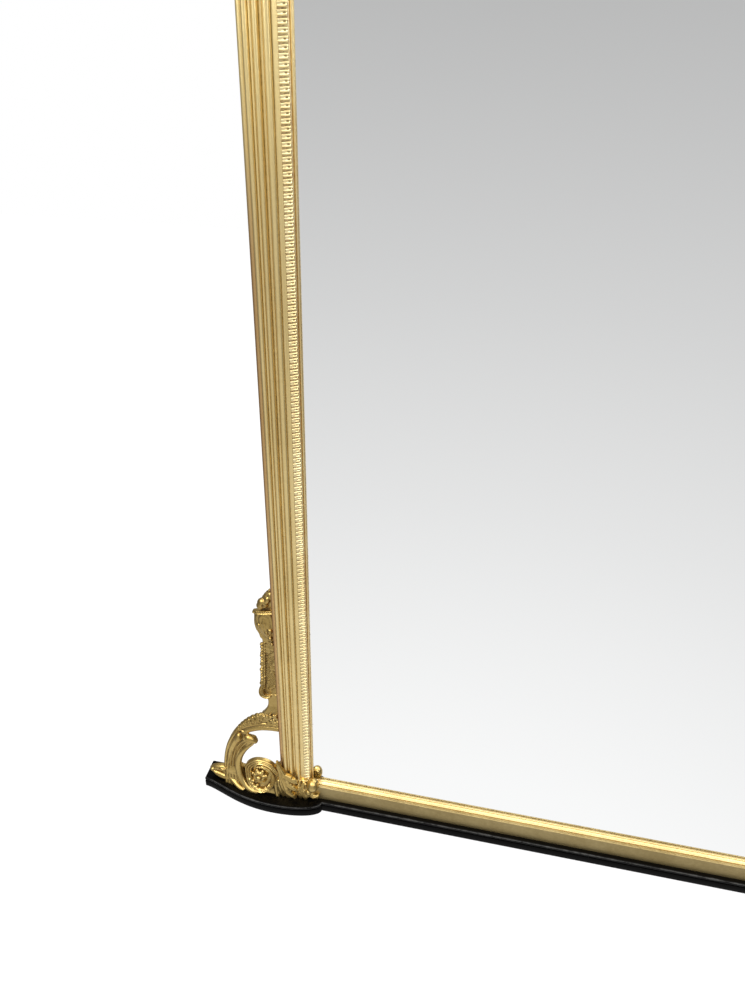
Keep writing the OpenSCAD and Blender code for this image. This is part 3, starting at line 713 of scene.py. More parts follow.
def hollowness(section: np.ndarray, reach: float = 4.0) -> np.ndarray:
    """How far each corner of a section sits in a hollow: -1 on an edge, 1 in a groove.

    Args:
        section: the section, in millimetres.
        reach: how far round a corner is looked at.
    Returns:
        One number for each corner.
    """
    cell = 0.4
    low = section.min(0) - 3 * reach
    count = np.ceil((section.max(0) + 3 * reach - low) / cell).astype(int)
    gu, gv = np.meshgrid(
        low[0] + cell * np.arange(count[0]), low[1] + cell * np.arange(count[1]), indexing="ij"
    )
    inside = np.zeros(gu.shape, bool)
    for (u0, v0), (u1, v1) in zip(section, np.roll(section, -1, 0)):
        if v0 != v1:
            crossing = (gv >= min(v0, v1)) & (gv < max(v0, v1))
            inside ^= crossing & (gu < u0 + (gv - v0) * (u1 - u0) / (v1 - v0))
    filled = blurred(inside.astype(np.float32), int(reach / cell / 1.7))
    spots = np.clip(((section - low) / cell).round().astype(int), 0, count - 1)
    return (filled[spots[:, 0], spots[:, 1]] - 0.5) * 2


def blurred(values: np.ndarray, radius: int) -> np.ndarray:
    """Box blur, three times along each axis.

    Args:
        values: numbers on a grid.
        radius: half width of the box, in cells.
    Returns:
        The blurred grid.
    """
    width = 2 * radius + 1
    for axis in range(values.ndim):
        for _ in range(3):
            pad = [(0, 0)] * values.ndim
            pad[axis] = (radius + 1, radius)
            total = np.cumsum(np.pad(values, pad, mode="edge"), axis=axis, dtype=np.float64)
            upper = np.take(total, np.arange(width, total.shape[axis]), axis)
            lower = np.take(total, np.arange(0, total.shape[axis] - width), axis)
            values = ((upper - lower) / width).astype(np.float32)
    return values


class Run(Enum):
    """The runs of the frame: the wooden moulding's solid, and what the strips' names end in."""

    STILE = ("stile", "")
    CORNER = ("corner", "_corner")
    TOP = ("top_rail", "_top")


@dataclass
class Moulding:
    """The frame's reeded moulding, its slips and its egg-and-tongue strips.

    A section is drawn as (distance outward from the sight edge, depth).
    """

    shop: Workshop
    slip: float = 5.5
    egg: float = 14.5
    flat: float = 9.2
    reeds: tuple[Row, ...] = (
        (29.3, 40.8, 47.2, 51.8), (41.2, 45.7, 46.6, 47.2), (46.2, 55.4, 49.8, 54.6),
        (55.8, 60.1, 50.2, 51.2), (60.4, 69.9, 50.8, 55.8), (70.0, 80.0, 43.6, 47.6),
    )
    flat_depth: float = 45.0
    back: float = 9.0
    board_back: float = 18.0
    board_edge: float = 38.8
    rebate: float = 16.0
    lip: float = 34.5
    bed_inner: float = 35.2
    bed_outer: float = 41.5
    egg_pitch: float = 10.1
    egg_height: float = 3.2
    egg_ground: float = 0.2
    egg_fillet: float = 1.9
    # a tongue's ridge and the drilled hollow, across the band as shares of the pitch
    tongue_limb: float = 0.25
    tongue_width: float = 0.137
    drill_width: float = 0.122
    # and along the band's width in millimetres; depths are shares of the ridge's height
    tongue_foot: float = 2.1
    filled_from: float = 8.0
    filled_height: float = 0.6
    drill_from: float = 9.0
    drill_run: float = 2.5
    drill_depth: float = 0.9
    slip_foot: float = 24.0
    stile_steps: int = 24
    corner_steps: int = 40
    top_steps: int = 16
    middle: float = 40.0

    @property
    def sight_radius(self) -> float:
        """Radius of the sight edge at the top corners."""
        return DATUM.sight_x - DATUM.corner_x

    def front_section(self) -> np.ndarray:
        """Section of the wooden moulding.

        Returns:
            Its points, as (outward, depth).
        """
        egg_edge = self.slip + self.egg
        points: list[Row] = [
            (self.slip, self.lip), (self.slip, self.bed_inner), (egg_edge, self.bed_outer),
            (egg_edge, self.flat_depth - 0.4), (egg_edge + 0.4, self.flat_depth),
            (egg_edge + self.flat - 0.8, self.flat_depth),
            (egg_edge + self.flat - 0.3, self.flat_depth - 0.8),
        ]
        for number, (inner, outer, low, crest) in enumerate(self.reeds):
            last = number == len(self.reeds) - 1
            for t in np.linspace(0, math.pi, 15):
                swell = math.sin(t) ** (1.0 if last and t > math.pi / 2 else 0.85)
                points.append(
                    (inner + (outer - inner) * (1 - math.cos(t)) / 2, low + (crest - low) * swell)
                )
            if not last:
                points.append((outer + 0.2, low - 0.4))
        points += [
            (self.reeds[-1][1], self.back), (self.board_edge, self.back),
            (self.board_edge, self.board_back),
            (self.rebate, self.board_back), (self.rebate, self.lip),
        ]
        return np.array(points)

    def slip_section(self) -> np.ndarray:
        """Section of the narrow gilt slip next to the glass."""
        hump = (
            [(0.15, 32.4)] + arc_points((2.75, 32.4), 2.6, 165, 35, 8)
            + [(5.2, 33.6), (5.5, 34.3), (8.0, 34.45)]
        )
        return np.array([(0.0, 31.0)] + hump + [(15.5, 34.45), (15.5, 31.0)])

    def bed_section(self) -> np.ndarray:
        """Section of the egg strip's bed.

        Returns:
            Its points, as (outward, depth).
        """
        edge = self.slip + self.egg
        return np.array([
            (self.slip + 0.02, self.bed_inner + 0.02), (self.slip + 0.02, self.bed_inner + 1.2),
            (self.slip + 0.5, self.bed_inner + 1.8), (self.slip + 1.8, self.bed_inner + 2.3),
            (self.slip + 2.5, self.bed_inner + 1.6), (edge - 0.02, self.bed_outer + 0.5),
            (edge - 0.02, self.bed_outer + 0.02),
        ])

    def stations(self, run: Run, side: int) -> list[tuple[Callable[[float], Row], float]]:
        """Stations along a run: each gives (x, z) for a distance outward, and its distance along.

        Args:
            run: which run of the frame.
            side: 1 on the right, -1 on the left.
        Returns:
            The stations in order.
        """
        x0, z0, r0 = DATUM.corner_x, DATUM.spring_z, self.sight_radius
        foot = DATUM.plinth_top
        quarter = math.pi / 2
        if run is Run.STILE:
            count = self.stile_steps
            heights = [(z0 - foot) * i / count for i in range(count + 1)]
            return [
                ((lambda u, z=foot + rise: (side * (DATUM.sight_x + u), z)), rise)
                for rise in heights
            ]
        if run is Run.CORNER:
            angles = [quarter * i / self.corner_steps for i in range(self.corner_steps + 1)]
            return [
                (
                    (lambda u, t=t: (
                        side * (x0 + (r0 + u) * math.cos(t)), z0 + (r0 + u) * math.sin(t)
                    )),
                    z0 - foot + (r0 + self.middle) * quarter * i / self.corner_steps,
                )
                for i, t in enumerate(angles)
            ]
        count = self.top_steps
        return [
            ((lambda u, x=x0 * (1 - 2 * i / count): (x, z0 + r0 + u)), 2 * x0 * i / count)
            for i in range(count + 1)
        ]

    def swept(
        self, name: str, section: np.ndarray, run: Run, side: int = 1, foot: float = 0.0
    ) -> Obj:
        """A section carried along a run, closed at both ends.

        Args:
            name: the piece's name.
            section: the closed section.
            run: which run of the frame.
            side: 1 on the right, -1 on the left.
            foot: how far above the plinth a stile's run begins.
        Returns:
            The piece, with "hollow" and the UV map "Run" on it.
        """
        stations = self.stations(run, side)
        count = len(section)
        points, hollow = [], np.tile(hollowness(section), len(stations))
        for number, (across, _) in enumerate(stations):
            for u, v in section:
                x, z = across(u)
                points.append(
                    (x * MM, (DATUM.wall - v) * MM, (z + (foot if number == 0 else 0)) * MM)
                )
        faces = []
        for s in range(len(stations) - 1):
            for i in range(count):
                j = (i + 1) % count
                faces.append(
                    (s * count + i, s * count + j, (s + 1) * count + j, (s + 1) * count + i)
                )
        caps = [
            tuple(range(count)), tuple(range((len(stations) - 1) * count, len(stations) * count))
        ]
        faces += [caps[0][::-1], caps[1]]
        turn = side > 0 or run is Run.TOP
        faces = [f[::-1] for f in faces] if turn else faces
        made = mesh_object(name, points, faces, 34.0)
        keep_number(made.data, "hollow", hollow)
        lengths = (
            np.concatenate([[0], np.cumsum(np.linalg.norm(np.diff(section, axis=0), axis=1))]) * MM
        )
        layer = made.data.uv_layers.new(name="Run")
        for loop in made.data.loops:
            station, corner = divmod(loop.vertex_index, count)
            layer.data[loop.index].uv = (lengths[corner], stations[station][1] * MM)
        return made

    def egg_motif(self) -> Obj:
        """One tongue of the band: a U-shaped ridge, filled at its top, and a drilled hollow.

        Returns:
            The motif, with "hollow" on it, raised round the ridge and in the drilled hollow for
            painted shade. Its x runs along the band.
        """
        pitch, width = self.egg_pitch, self.egg
        across = np.array([0.0, 0.08, 0.165, 0.25, 0.335, 0.42, 0.5])
        across = np.concatenate([-across[:0:-1], across]) * pitch
        outward = np.array([1.9, 3.2, 4.8, 6.8, 9.0, 11.2, 13.0, width - 0.05])
        slope = (self.bed_outer - self.bed_inner) / width
        limb = pitch * self.tongue_limb
        bow = self.tongue_foot + limb
        points, hollow = [], []
        for u in outward:
            for x in across:
                lean = x - pitch * 0.036 * math.sin(u * 0.36)
                reach = abs(lean) if u > bow else math.hypot(lean, u - bow)
                crown = math.exp(-((abs(reach - limb) / (pitch * self.tongue_width)) ** 2))
                if u > self.filled_from and abs(x) < limb:
                    crown = max(crown, self.filled_height)
                drill = math.exp(-(((abs(x) - pitch / 2) / (pitch * self.drill_width)) ** 2))
                drill *= min(1.0, max(0.0, (u - self.drill_from) / self.drill_run))
                height = self.egg_ground
                height += (
                    (self.egg_height - self.egg_ground) * max(crown - self.drill_depth * drill, 0.0)
                )
                first = u == outward[0]
                rise = max(height, self.egg_fillet) if first else height
                points.append((x, self.slip + u, self.bed_inner + slope * u + rise))
                # painted shade: the hollow number is raised off the ridge and more in the drilled
                # hollow, which the gilding darkens
                hollow.append(1.25 * (1 - crown) * (0.1 if first else 1.0) + 1.3 * drill - 0.2)
        columns = len(across)
        faces = [
            (i * columns + j, i * columns + j + 1, (i + 1) * columns + j + 1, (i + 1) * columns + j)
            for i in range(len(outward) - 1) for j in range(columns - 1)
        ]
        made = mesh_object("egg motif", np.array(points) * MM, faces, 180)
        keep_number(made.data, "hollow", np.clip(hollow, 0, 1))
        return made

    def egg_repeater(self) -> Repeater:
        """The node tree that sets motifs along a path and joins them to the strip's bed.

        Returns:
            The tree.
        """
        inputs = {
            "Bed": "Geometry", "Path": "Object", "Motif": "Object", "Pitch": "Float",
            "Finish": "Material"
        }
        repeater = Repeater("egg band", inputs, "Strip")
        given, result, path, motif = repeater.add(
            "NodeGroupInput", "NodeGroupOutput", "GeometryNodeObjectInfo", "GeometryNodeObjectInfo",
        )
        motif.inputs["As Instance"].default_value = True
        curve, resample, tangent, forward, along = repeater.add(
            "GeometryNodeMeshToCurve", "GeometryNodeResampleCurve", "GeometryNodeInputTangent",
            "FunctionNodeAlignRotationToVector", "FunctionNodeAlignRotationToVector",
        )
        resample.mode = "LENGTH"
        forward.axis, along.axis, along.pivot_axis = "Z", "X", "Z"
        forward.inputs["Vector"].default_value = (0, -1, 0)
        instance, realize, join, finish = repeater.add(
            "GeometryNodeInstanceOnPoints", "GeometryNodeRealizeInstances",
            "GeometryNodeJoinGeometry", "GeometryNodeSetMaterial",
        )
        repeater.link(
            (given, "Path", path, "Object"),
            (given, "Motif", motif, "Object"),
            (path, "Geometry", curve, 0),
            (curve, 0, resample, "Curve"),
            (given, "Pitch", resample, "Length"),
            (resample, 0, instance, "Points"),
            (motif, "Geometry", instance, "Instance"),
            (forward, 0, along, "Rotation"),
            (tangent, 0, along, "Vector"),
            (along, 0, instance, "Rotation"),
            (given, "Bed", join, 0),
            (instance, 0, join, 0),
            (join, 0, realize, 0),
            (realize, 0, finish, "Geometry"),
            (given, "Finish", finish, "Material"),
            (finish, 0, result, 0),
        )
        return repeater

    def egg_strip(self, name: str, repeater: Repeater, motif: Obj, run: Run, side: int) -> Obj:
        """The egg-and-tongue strip of one run.

        Args:
            name: the piece's name.
            repeater: the node tree that sets the motifs.
            motif: one tongue.
            run: which run of the frame.
            side: 1 on the right, -1 on the left.
        Returns:
            The strip.
        """
        bed = self.swept(name + " bed", self.bed_section(), run, side)
        stations = self.stations(run, side)
        route = np.array([(*across(0.0), distance) for across, distance in stations])
        step = np.linalg.norm(np.diff(route[:, :2], axis=0), axis=1)
        middle = np.array([across(self.slip + self.egg / 2) for across, _ in stations])
        length = np.linalg.norm(np.diff(middle, axis=0), axis=1).sum()
        count = round(length / self.egg_pitch)
        along = np.concatenate([[0], np.cumsum(step)])
        inset = along[-1] / count / 2
        wanted = np.linspace(inset, along[-1] - inset, 4 * len(route))
        line = np.stack([np.interp(wanted, along, route[:, k]) for k in (0, 1)], 1)
        if run is Run.TOP or side > 0:
            line = line[::-1]
        points = [(x * MM, DATUM.wall * MM, z * MM) for x, z in line]
        mesh = bpy.data.meshes.new(name + " path")
        mesh.from_pydata(points, [(i, i + 1) for i in range(len(points) - 1)], [])
        path = linked(name + " path", mesh)
        # a hair under the even step, so that rounding can't drop the last motif
        pitch = float((along[-1] - 2 * inset) / (count - 1) * MM * 0.9999)
        finish = self.shop.materials[Finish.GILT_COMPOSITION]
        made = repeater.run(name, bed, Path=path, Motif=motif, Pitch=pitch, Finish=finish)
        bpy.data.objects.remove(path)
        return made

    def build(self) -> None:
        """Makes and fits every run of the moulding."""
        motif, repeater = self.egg_motif(), self.egg_repeater()
        wood, slip = self.front_section(), self.slip_section()
        sided = [(run, side, f"_{name}") for run in (Run.STILE, Run.CORNER) for side, name in SIDES]
        for run, side, label in (*sided, (Run.TOP, 1, "")):
            node, ending = run.value
            node += label
            self.shop.fit(
                self.swept(node + "_moulding", wood, run, side), Finish.GILT_MOULDING, node
            )
            node = f"slip{ending}{label}"
            foot = self.slip_foot if run is Run.STILE else 0.0
            self.shop.fit(self.swept(node + "_gilt", slip, run, side, foot), Finish.GILT_SLIP, node)
            node = f"egg_strip{ending}{label}"
            strip = self.egg_strip(node + "_band", repeater, motif, run, side)
            self.shop.fit(strip, Finish.GILT_COMPOSITION, node)
        bpy.data.objects.remove(motif)
        self.shop.dress(Finish.GILT_RAIL, "bottom_rail")
        self.shop.dress(Finish.GILT_SLIP, "slip_bottom")


# ---------------------------------------------------------------- carving


def soft_least(a: np.ndarray, b: np.ndarray, blend: float) -> np.ndarray:
    """The lesser of two distances, eased where they are alike."""
    h = np.clip(0.5 + 0.5 * (b - a) / blend, 0, 1)
    return b + (a - b) * h - blend * h * (1 - h)


def soft_most(a: np.ndarray, b: np.ndarray, blend: float) -> np.ndarray:
    """The greater of two distances, eased where they are alike."""
    return -soft_least(-a, -b, blend)


def flowing(rows: Sequence[Row], steps: int = 10) -> np.ndarray:
    """A smooth path through given rows of numbers.

    Args:
        rows: the rows that the path runs through.
        steps: points for each row.
    Returns:
        The points of the path.
    """
    keys = np.array(rows, float)
    padded = np.vstack([2 * keys[0] - keys[1], keys, 2 * keys[-1] - keys[-2]])
    made = []
    for i in range(len(keys) - 1):
        p0, p1, p2, p3 = padded[i : i + 4]
        for t in np.linspace(0, 1, steps, endpoint=False):
            made.append(0.5 * (
                2 * p1 + (p2 - p0) * t + (2 * p0 - 5 * p1 + 4 * p2 - p3) * t**2
                + (3 * p1 - p0 - 3 * p2 + p3) * t**3
            ))
    return np.array(made + [keys[-1]])


def plain(x: np.ndarray, t: np.ndarray, s: np.ndarray) -> np.ndarray:
    """No relief."""
    return np.zeros_like(x)


def ridge(x: np.ndarray, at: float, width: float) -> np.ndarray:
    """A rounded ridge along a band."""
    return np.exp(-(((x - at) / width) ** 2))


def rimmed(x: np.ndarray, t: np.ndarray, s: np.ndarray) -> np.ndarray:
    """A raised rim along both edges and a hollow between."""
    return 2.6 * (ridge(x, 0.72, 0.22) + ridge(x, -0.72, 0.22)) - 1.6 * ridge(x, 0.0, 0.4)


def fluted(count: int, height: float) -> Pattern:
    """Flutes side by side along a band.

    Args:
        count: how many flutes.
        height: their height, in millimetres.
    Returns:
        The pattern.
    """

    def pattern(x: np.ndarray, t: np.ndarray, s: np.ndarray) -> np.ndarray:
        """Height of the flutes."""
        return (
            height * (np.abs(np.cos(0.5 * math.pi * count * x)) - 0.5)
            * (0.55 + 0.45 * np.clip(4 * t, 0, 1))
        )

    return pattern


def veined(pitch: float, slant: float, height: float) -> Pattern:
    """A leaf's veins, running forward and out from a midrib.

    Args:
        pitch: distance between veins.
        slant: how far they run forward, as turns of the pitch.
        height: their height.
    Returns:
        The pattern.
    """

    def pattern(x: np.ndarray, t: np.ndarray, s: np.ndarray) -> np.ndarray:
        """Height of the midrib and the veins."""
        lines = np.cos(2 * math.pi * (s / pitch - np.abs(x) * slant))
        return height * lines * np.clip(np.abs(x) * 2.2, 0, 1) + 1.4 * height * ridge(x, 0.0, 0.14)

    return pattern


class Cut(NamedTuple):
    """How a band is cut: see Carving.band for what each number sets."""

    crown: float
    shoulder: float
    blend: float


SCROLL = Cut(1.0, 2.5, 0.6)
LOBE = Cut(3.5, 4.0, 0.6)
SMALL_LEAF = Cut(2.5, 2.5, 0.8)
LEAF = Cut(3.0, 2.5, 0.8)
BROAD_LEAF = Cut(3.5, 3.0, 0.8)


class Carving:
    """A block held as distances on a grid, which ornament is added to and cut from.

    Places are (out, up, depth) in millimetres. Distances are below 0 inside the wood.
    """

    hollow_reach = 2.2

    def __init__(self, low: Row, high: Row, cell: float, back: float) -> None:
        """Sets up an empty block.

        Args:
            low: its lowest corner.
            high: its highest corner.
            cell: the grid's step.
            back: depth of the carving's flat back.
        """
        self.cell, self.back = cell, back
        self.axes = [
            np.arange(l - 2 * cell, h + 3 * cell, cell, dtype=np.float32) for l, h in zip(low, high)
        ]
        self.space = np.full([len(a) for a in self.axes], 60.0, np.float32)

    def _window(self, low: Row, high: Row, margin: float = 8.0) -> Window:
        """Slices of the grid, out and up, that hold a region.

        Args:
            low: its lowest corner.
            high: its highest corner.
            margin: how far beyond it they reach.
        Returns:
            The slices.
        """
        spans = []
        for axis, l, h in zip(self.axes[:2], low, high):
            first, last = np.searchsorted(axis, (l - margin, h + margin))
            spans.append(slice(int(first), max(int(last), int(first) + 1)))
        return spans[0], spans[1]

    def _spread(self, window: Window) -> list[np.ndarray]:
        """Places out and up, over a window of the grid."""
        return np.meshgrid(*(axis[part] for axis, part in zip(self.axes, window)), indexing="ij")

    def _add(self, window: Window, distance: np.ndarray, blend: float) -> None:
        """Adds a form to the block."""
        self.space[window] = soft_least(self.space[window], distance.astype(np.float32), blend)

    def band(
        self, rows: Sequence[Row], relief: Pattern = plain, crown: float = 2.0,
        shoulder: float = 3.0,
        blend: float = 1.2, notches: Optional[tuple[float, float, float]] = None,
        back: Optional[float] = None,
    ) -> None:
        """Adds a band that follows a path.

        Args:
            rows: (out, up, depth of its face, half width) along the path.
            relief: height of its face's pattern, from (across -1 to 1, share along, length along).
            crown: how far its face falls from its middle to its edges.
            shoulder: rounding between its face and its sides.
            blend: easing where it meets what is there.
            notches: (count, depth as a share of the width, forward slant) of a leaf's lobes.
            back: depth of its back, if not the block's.
        """
        path = flowing(rows)
        reach = float(path[:, 3].max())
        window = self._window(path[:, :2].min(0) - reach, path[:, :2].max(0) + reach)
        out, up = self._spread(window)
        tangent = np.gradient(path[:, :2], axis=0)
        pace = np.linalg.norm(tangent, axis=1)
        tangent /= pace[:, None]
        length = np.concatenate(
            [[0], np.cumsum(np.linalg.norm(np.diff(path[:, :2], axis=0), axis=1))]
        )
        gaps = (out[..., None] - path[:, 0]) ** 2 + (up[..., None] - path[:, 1]) ** 2
        near = gaps.argmin(-1)
        off = np.stack([out - path[near, 0], up - path[near, 1]], -1)
        ahead = (off * tangent[near]).sum(-1)
        aside = off[..., 1] * tangent[near][..., 0] - off[..., 0] * tangent[near][..., 1]
        held = np.clip(ahead, -pace[near] * (near > 0), pace[near] * (near < len(path) - 1))
        away = np.hypot(aside, ahead - held)
        place = np.clip(near + held / pace[near], 0, len(path) - 1)
        index = np.arange(len(path))
        face, half = (np.interp(place, index, path[:, k]) for k in (2, 3))
        along = np.interp(place, index, length)
        across = np.clip(np.copysign(away, aside) / half, -1.4, 1.4)
        share = along / length[-1]
        if notches:
            count, depth, slant = notches
            phase = np.abs(np.sin(math.pi * (share * count - np.abs(across) * slant)))
            half = half * (1 - depth * (1 - phase) ** 2.2)
        height = face - crown * np.minimum(across**2, 1.3) + relief(across, share, along)
        side = (away - half)[..., None]
        depths = self.axes[2][None, None, :]
        form = soft_most(side, depths - height[..., None], shoulder)
        rear = self.back if back is None else back
        self._add(window, np.maximum(form, rear - depths), blend)

    def bead(
        self, centre: Row, radii: Row, turn: float = 0.0, blend: float = 1.0, cut: bool = False
    ) -> None:
        """Adds an egg-shaped bead, or drills one away.

        Args:
            centre: (out, up, depth).
            radii: its half sizes, before it is turned.
            turn: degrees that it is turned, seen from the front.
            blend: easing where it meets what is there.
            cut: whether it is drilled away.
        """
        reach = max(radii[:2])
        window = self._around(centre, (reach, reach), 5.0)
        out, up, depth = np.meshgrid(
            self.axes[0][window[0]] - centre[0], self.axes[1][window[1]] - centre[1],
            self.axes[2] - centre[2], indexing="ij"
        )
        c, s = math.cos(math.radians(turn)), math.sin(math.radians(turn))
        turned = (out * c + up * s, up * c - out * s, depth)
        across, along, ahead = ((place / radius) ** 2 for place, radius in zip(turned, radii))
        far = np.sqrt(across + along + ahead)
        form = (far - 1) * min(radii)
        if cut:
            self.space[window] = soft_most(self.space[window], -form, blend)
        else:
            self._add(window, np.maximum(form, self.back - depth - centre[2]), blend)

    def slab(
        self, outline: Sequence[Row], face: Union[float, Callable], shoulder: float = 2.5,
        blend: float = 1.2, hollow: bool = False, steps: int = 5, back: Optional[float] = None,
    ) -> None:
        """Adds a flat-faced block with a smooth outline, or sinks one into the face.

        Args:
            outline: its corners, as (out, up).
            face: depth of its face, or a function of (out, up) that gives it.
            shoulder: rounding between its face and its sides.
            blend: easing where it meets what is there.
            hollow: whether it is sunk.
            steps: points for each corner; 1 keeps the corners sharp.
            back: depth of its back, if not the block's.
        """
        ring = flowing(
            list(outline) + [outline[0]], steps
        )[:-1] if steps > 1 else np.array(outline, float)
        window = self._window(ring.min(0), ring.max(0))
        out, up = self._spread(window)
        gap = np.full(out.shape, 1e9)
        inside = np.zeros(out.shape, bool)
        for (x0, y0), (x1, y1) in zip(ring, np.roll(ring, -1, 0)):
            dx, dy = x1 - x0, y1 - y0
            t = np.clip(((out - x0) * dx + (up - y0) * dy) / max(dx * dx + dy * dy, 1e-9), 0, 1)
            gap = np.minimum(gap, np.hypot(out - x0 - t * dx, up - y0 - t * dy))
            if y0 != y1:
                inside ^= (
                    (up >= min(y0, y1)) & (up < max(y0, y1))
                ) & (out < x0 + (up - y0) * dx / dy)
        side = np.where(inside, -gap, gap)[..., None]
        depths = self.axes[2][None, None, :]
        if callable(face):
            face = face(out, up)[..., None]
        if hollow:
            form = soft_most(side, face - depths, shoulder)
            self.space[window] = soft_most(self.space[window], -form, blend)
        else:
            form = soft_most(side, depths - face, shoulder)
            self._add(
                window, np.maximum(form, (self.back if back is None else back) - depths), blend
            )

    def _around(self, centre: Row, radii: Row, margin: float) -> Window:
        """The window that holds an ellipse round a centre."""
        (a, h), (r, s) = centre[:2], radii[:2]
        return self._window((a - r, h - s), (a + r, h + s), margin)

    def punch(self, centre: Row, radii: Row, height: float, pitch: float, seed: int) -> None:
        """Roughens a region with punched dots.

        Args:
            centre: middle of the region, (out, up).
            radii: its half sizes.
            height: height of the dots.
            pitch: distance between them.
            seed: what their pattern starts from.
        """
        window = self._around(centre, radii, 0.0)
        out, up = self._spread(window)
        rng = np.random.default_rng(seed)
        shift = rng.uniform(0, 6.28, 4)
        wave = (
            np.sin(out * 6.28 / pitch + shift[0] + 1.3 * np.sin(up / pitch + shift[1]))
            * np.sin(up * 6.28 / pitch + shift[2] + 1.3 * np.sin(out / pitch + shift[3]))
        )
        inside = np.clip(
            2.5 * (1 - np.hypot((out - centre[0]) / radii[0], (up - centre[1]) / radii[1])), 0, 1
        )
        self.space[window] -= (height * wave * inside)[..., None].astype(np.float32)

    def mirror(self) -> None:
        """Puts a mirror image of the half beyond the middle over the other half."""
        first = int(round((0 - self.axes[0][0]) / self.cell))
        count = self.space.shape[0] - first - 1
        self.axes[0] = np.arange(-count, count + 1, dtype=np.float32) * self.cell
        self.space = np.concatenate([self.space[:first:-1], self.space[first:]], 0)

    def clear(self, low: Row, high: Row) -> None:
        """Cuts away a box, given by its (out, up, depth) corners.

        Args:
            low: its lowest corner.
            high: its highest corner.
        """
        grids = [
            a.reshape([-1 if k == n else 1 for k in range(3)]) for n, a in enumerate(self.axes)
        ]
        inside = np.maximum.reduce([
            np.maximum(l - g, g - h) + np.zeros_like(self.space)
            for g, l, h in zip(grids, low, high)
        ])
        self.space = np.maximum(self.space, -inside)

    def above(self, height: float) -> None:
        """Cuts everything below a height."""
        self.space = np.maximum(self.space, height - self.axes[1][None, :, None])

    def skin(self) -> Skin:
        """The block's surface: points, four-cornered faces and how hollow each point is.

        Returns:
            The points, the faces and the hollows.
        """
        d = self.space
        for axis in range(3):
            for end in (0, -1):
                wall = (slice(None),) * axis + (end,)
                d[wall] = np.maximum(d[wall], 1.0)
        inside = d < 0
        corners = sum(
            inside[
                i : i + d.shape[0] - 1, j : j + d.shape[1] - 1, k : k + d.shape[2] - 1
            ].astype(np.int8)
            for i in (0, 1) for j in (0, 1) for k in (0, 1)
        )
        cells = np.argwhere((corners > 0) & (corners < 8))
        number = np.full(corners.shape, -1)
        number[tuple(cells.T)] = np.arange(len(cells))
        total, found = np.zeros((len(cells), 3)), np.zeros(len(cells))
        for axis in range(3):
            step = np.eye(3, dtype=int)[axis]
            others = [k for k in range(3) if k != axis]
            for i in (0, 1):
                for j in (0, 1):
                    start = np.zeros(3, int)
                    start[others[0]], start[others[1]] = i, j
                    low = cells + start
                    a, b = d[tuple(low.T)], d[tuple((low + step).T)]
                    cross = (a < 0) != (b < 0)
                    share = np.where(cross, a / np.where(cross, a - b, 1), 0)
                    total += np.where(cross[:, None], start + share[:, None] * step, 0)
                    found += cross
        origin = np.array([a[0] for a in self.axes])
        points = origin + self.cell * (cells + total / found[:, None])
        faces = []
        for axis in range(3):
            u, w = [k for k in range(3) if k != axis]
            a = np.moveaxis(inside, axis, 0)
            change = a[1:] != a[:-1]
            spots = np.argwhere(change)
            edge = np.zeros_like(spots)
            edge[:, axis], edge[:, u], edge[:, w] = spots[:, 0], spots[:, 1], spots[:, 2]
            leaving = inside[tuple(edge.T)]
            du, dw = np.eye(3, dtype=int)[u], np.eye(3, dtype=int)[w]
            around = [edge, edge - du, edge - du - dw, edge - dw]
            quads = np.stack([number[tuple(c.T)] for c in around], 1)
            flip = leaving if axis != 1 else ~leaving
            quads[~flip] = quads[~flip][:, ::-1]
            faces.append(quads)
        quads = np.vstack(faces)
        quads = quads[(quads >= 0).all(1)]
        radius = max(1, round(self.hollow_reach / self.cell))
        solid = blurred(np.clip(0.5 - d / (2 * self.cell), 0, 1), radius)
        spots = np.clip(
            ((points - origin) / self.cell).round().astype(int), 0, np.array(d.shape) - 1
        )
        hollow = (solid[tuple(spots.T)] - 0.5) * 2
        return self._eased(points, quads), quads, hollow

    @staticmethod
    def _eased(points: np.ndarray, quads: np.ndarray, rounds: int = 2) -> np.ndarray:
        """Takes the grid's steps out of a surface without shrinking it.

        Args:
            points: the surface's points.
            quads: its faces.
            rounds: how often it is eased.
        Returns:
            The points where they end up.
        """
        edges = np.vstack([quads[:, [i, (i + 1) % 4]] for i in range(4)])
        count = np.bincount(edges.ravel(), minlength=len(points))[:, None]
        for _ in range(rounds):
            for share in (0.5, -0.52):
                total = np.zeros_like(points)
                np.add.at(total, edges[:, 0], points[edges[:, 1]])
                np.add.at(total, edges[:, 1], points[edges[:, 0]])
                points = points + share * (total / np.maximum(count, 1) - points)
        return points

    def object(self, name: str, side: int, origin: Row, skin: Optional[Skin] = None) -> Obj:
        """The carving as a mesh object.

        Args:
            name: the piece's name.
            side: 1 on the right, -1 mirrored on the left.
            origin: (x, z) that "out" and "up" are measured from.
            skin: the surface, if it has been worked out already.
        Returns:
            The object, with "hollow" on it.
        """
        points, quads, hollow = skin or self.skin()
        out, up, depth = points.T
        world = np.stack([side * (origin[0] + out), DATUM.wall - depth, origin[1] + up], 1) * MM
        made = mesh_object(name, world, quads if side > 0 else quads[:, ::-1], 180)
        keep_number(made.data, "hollow", hollow)
        return made


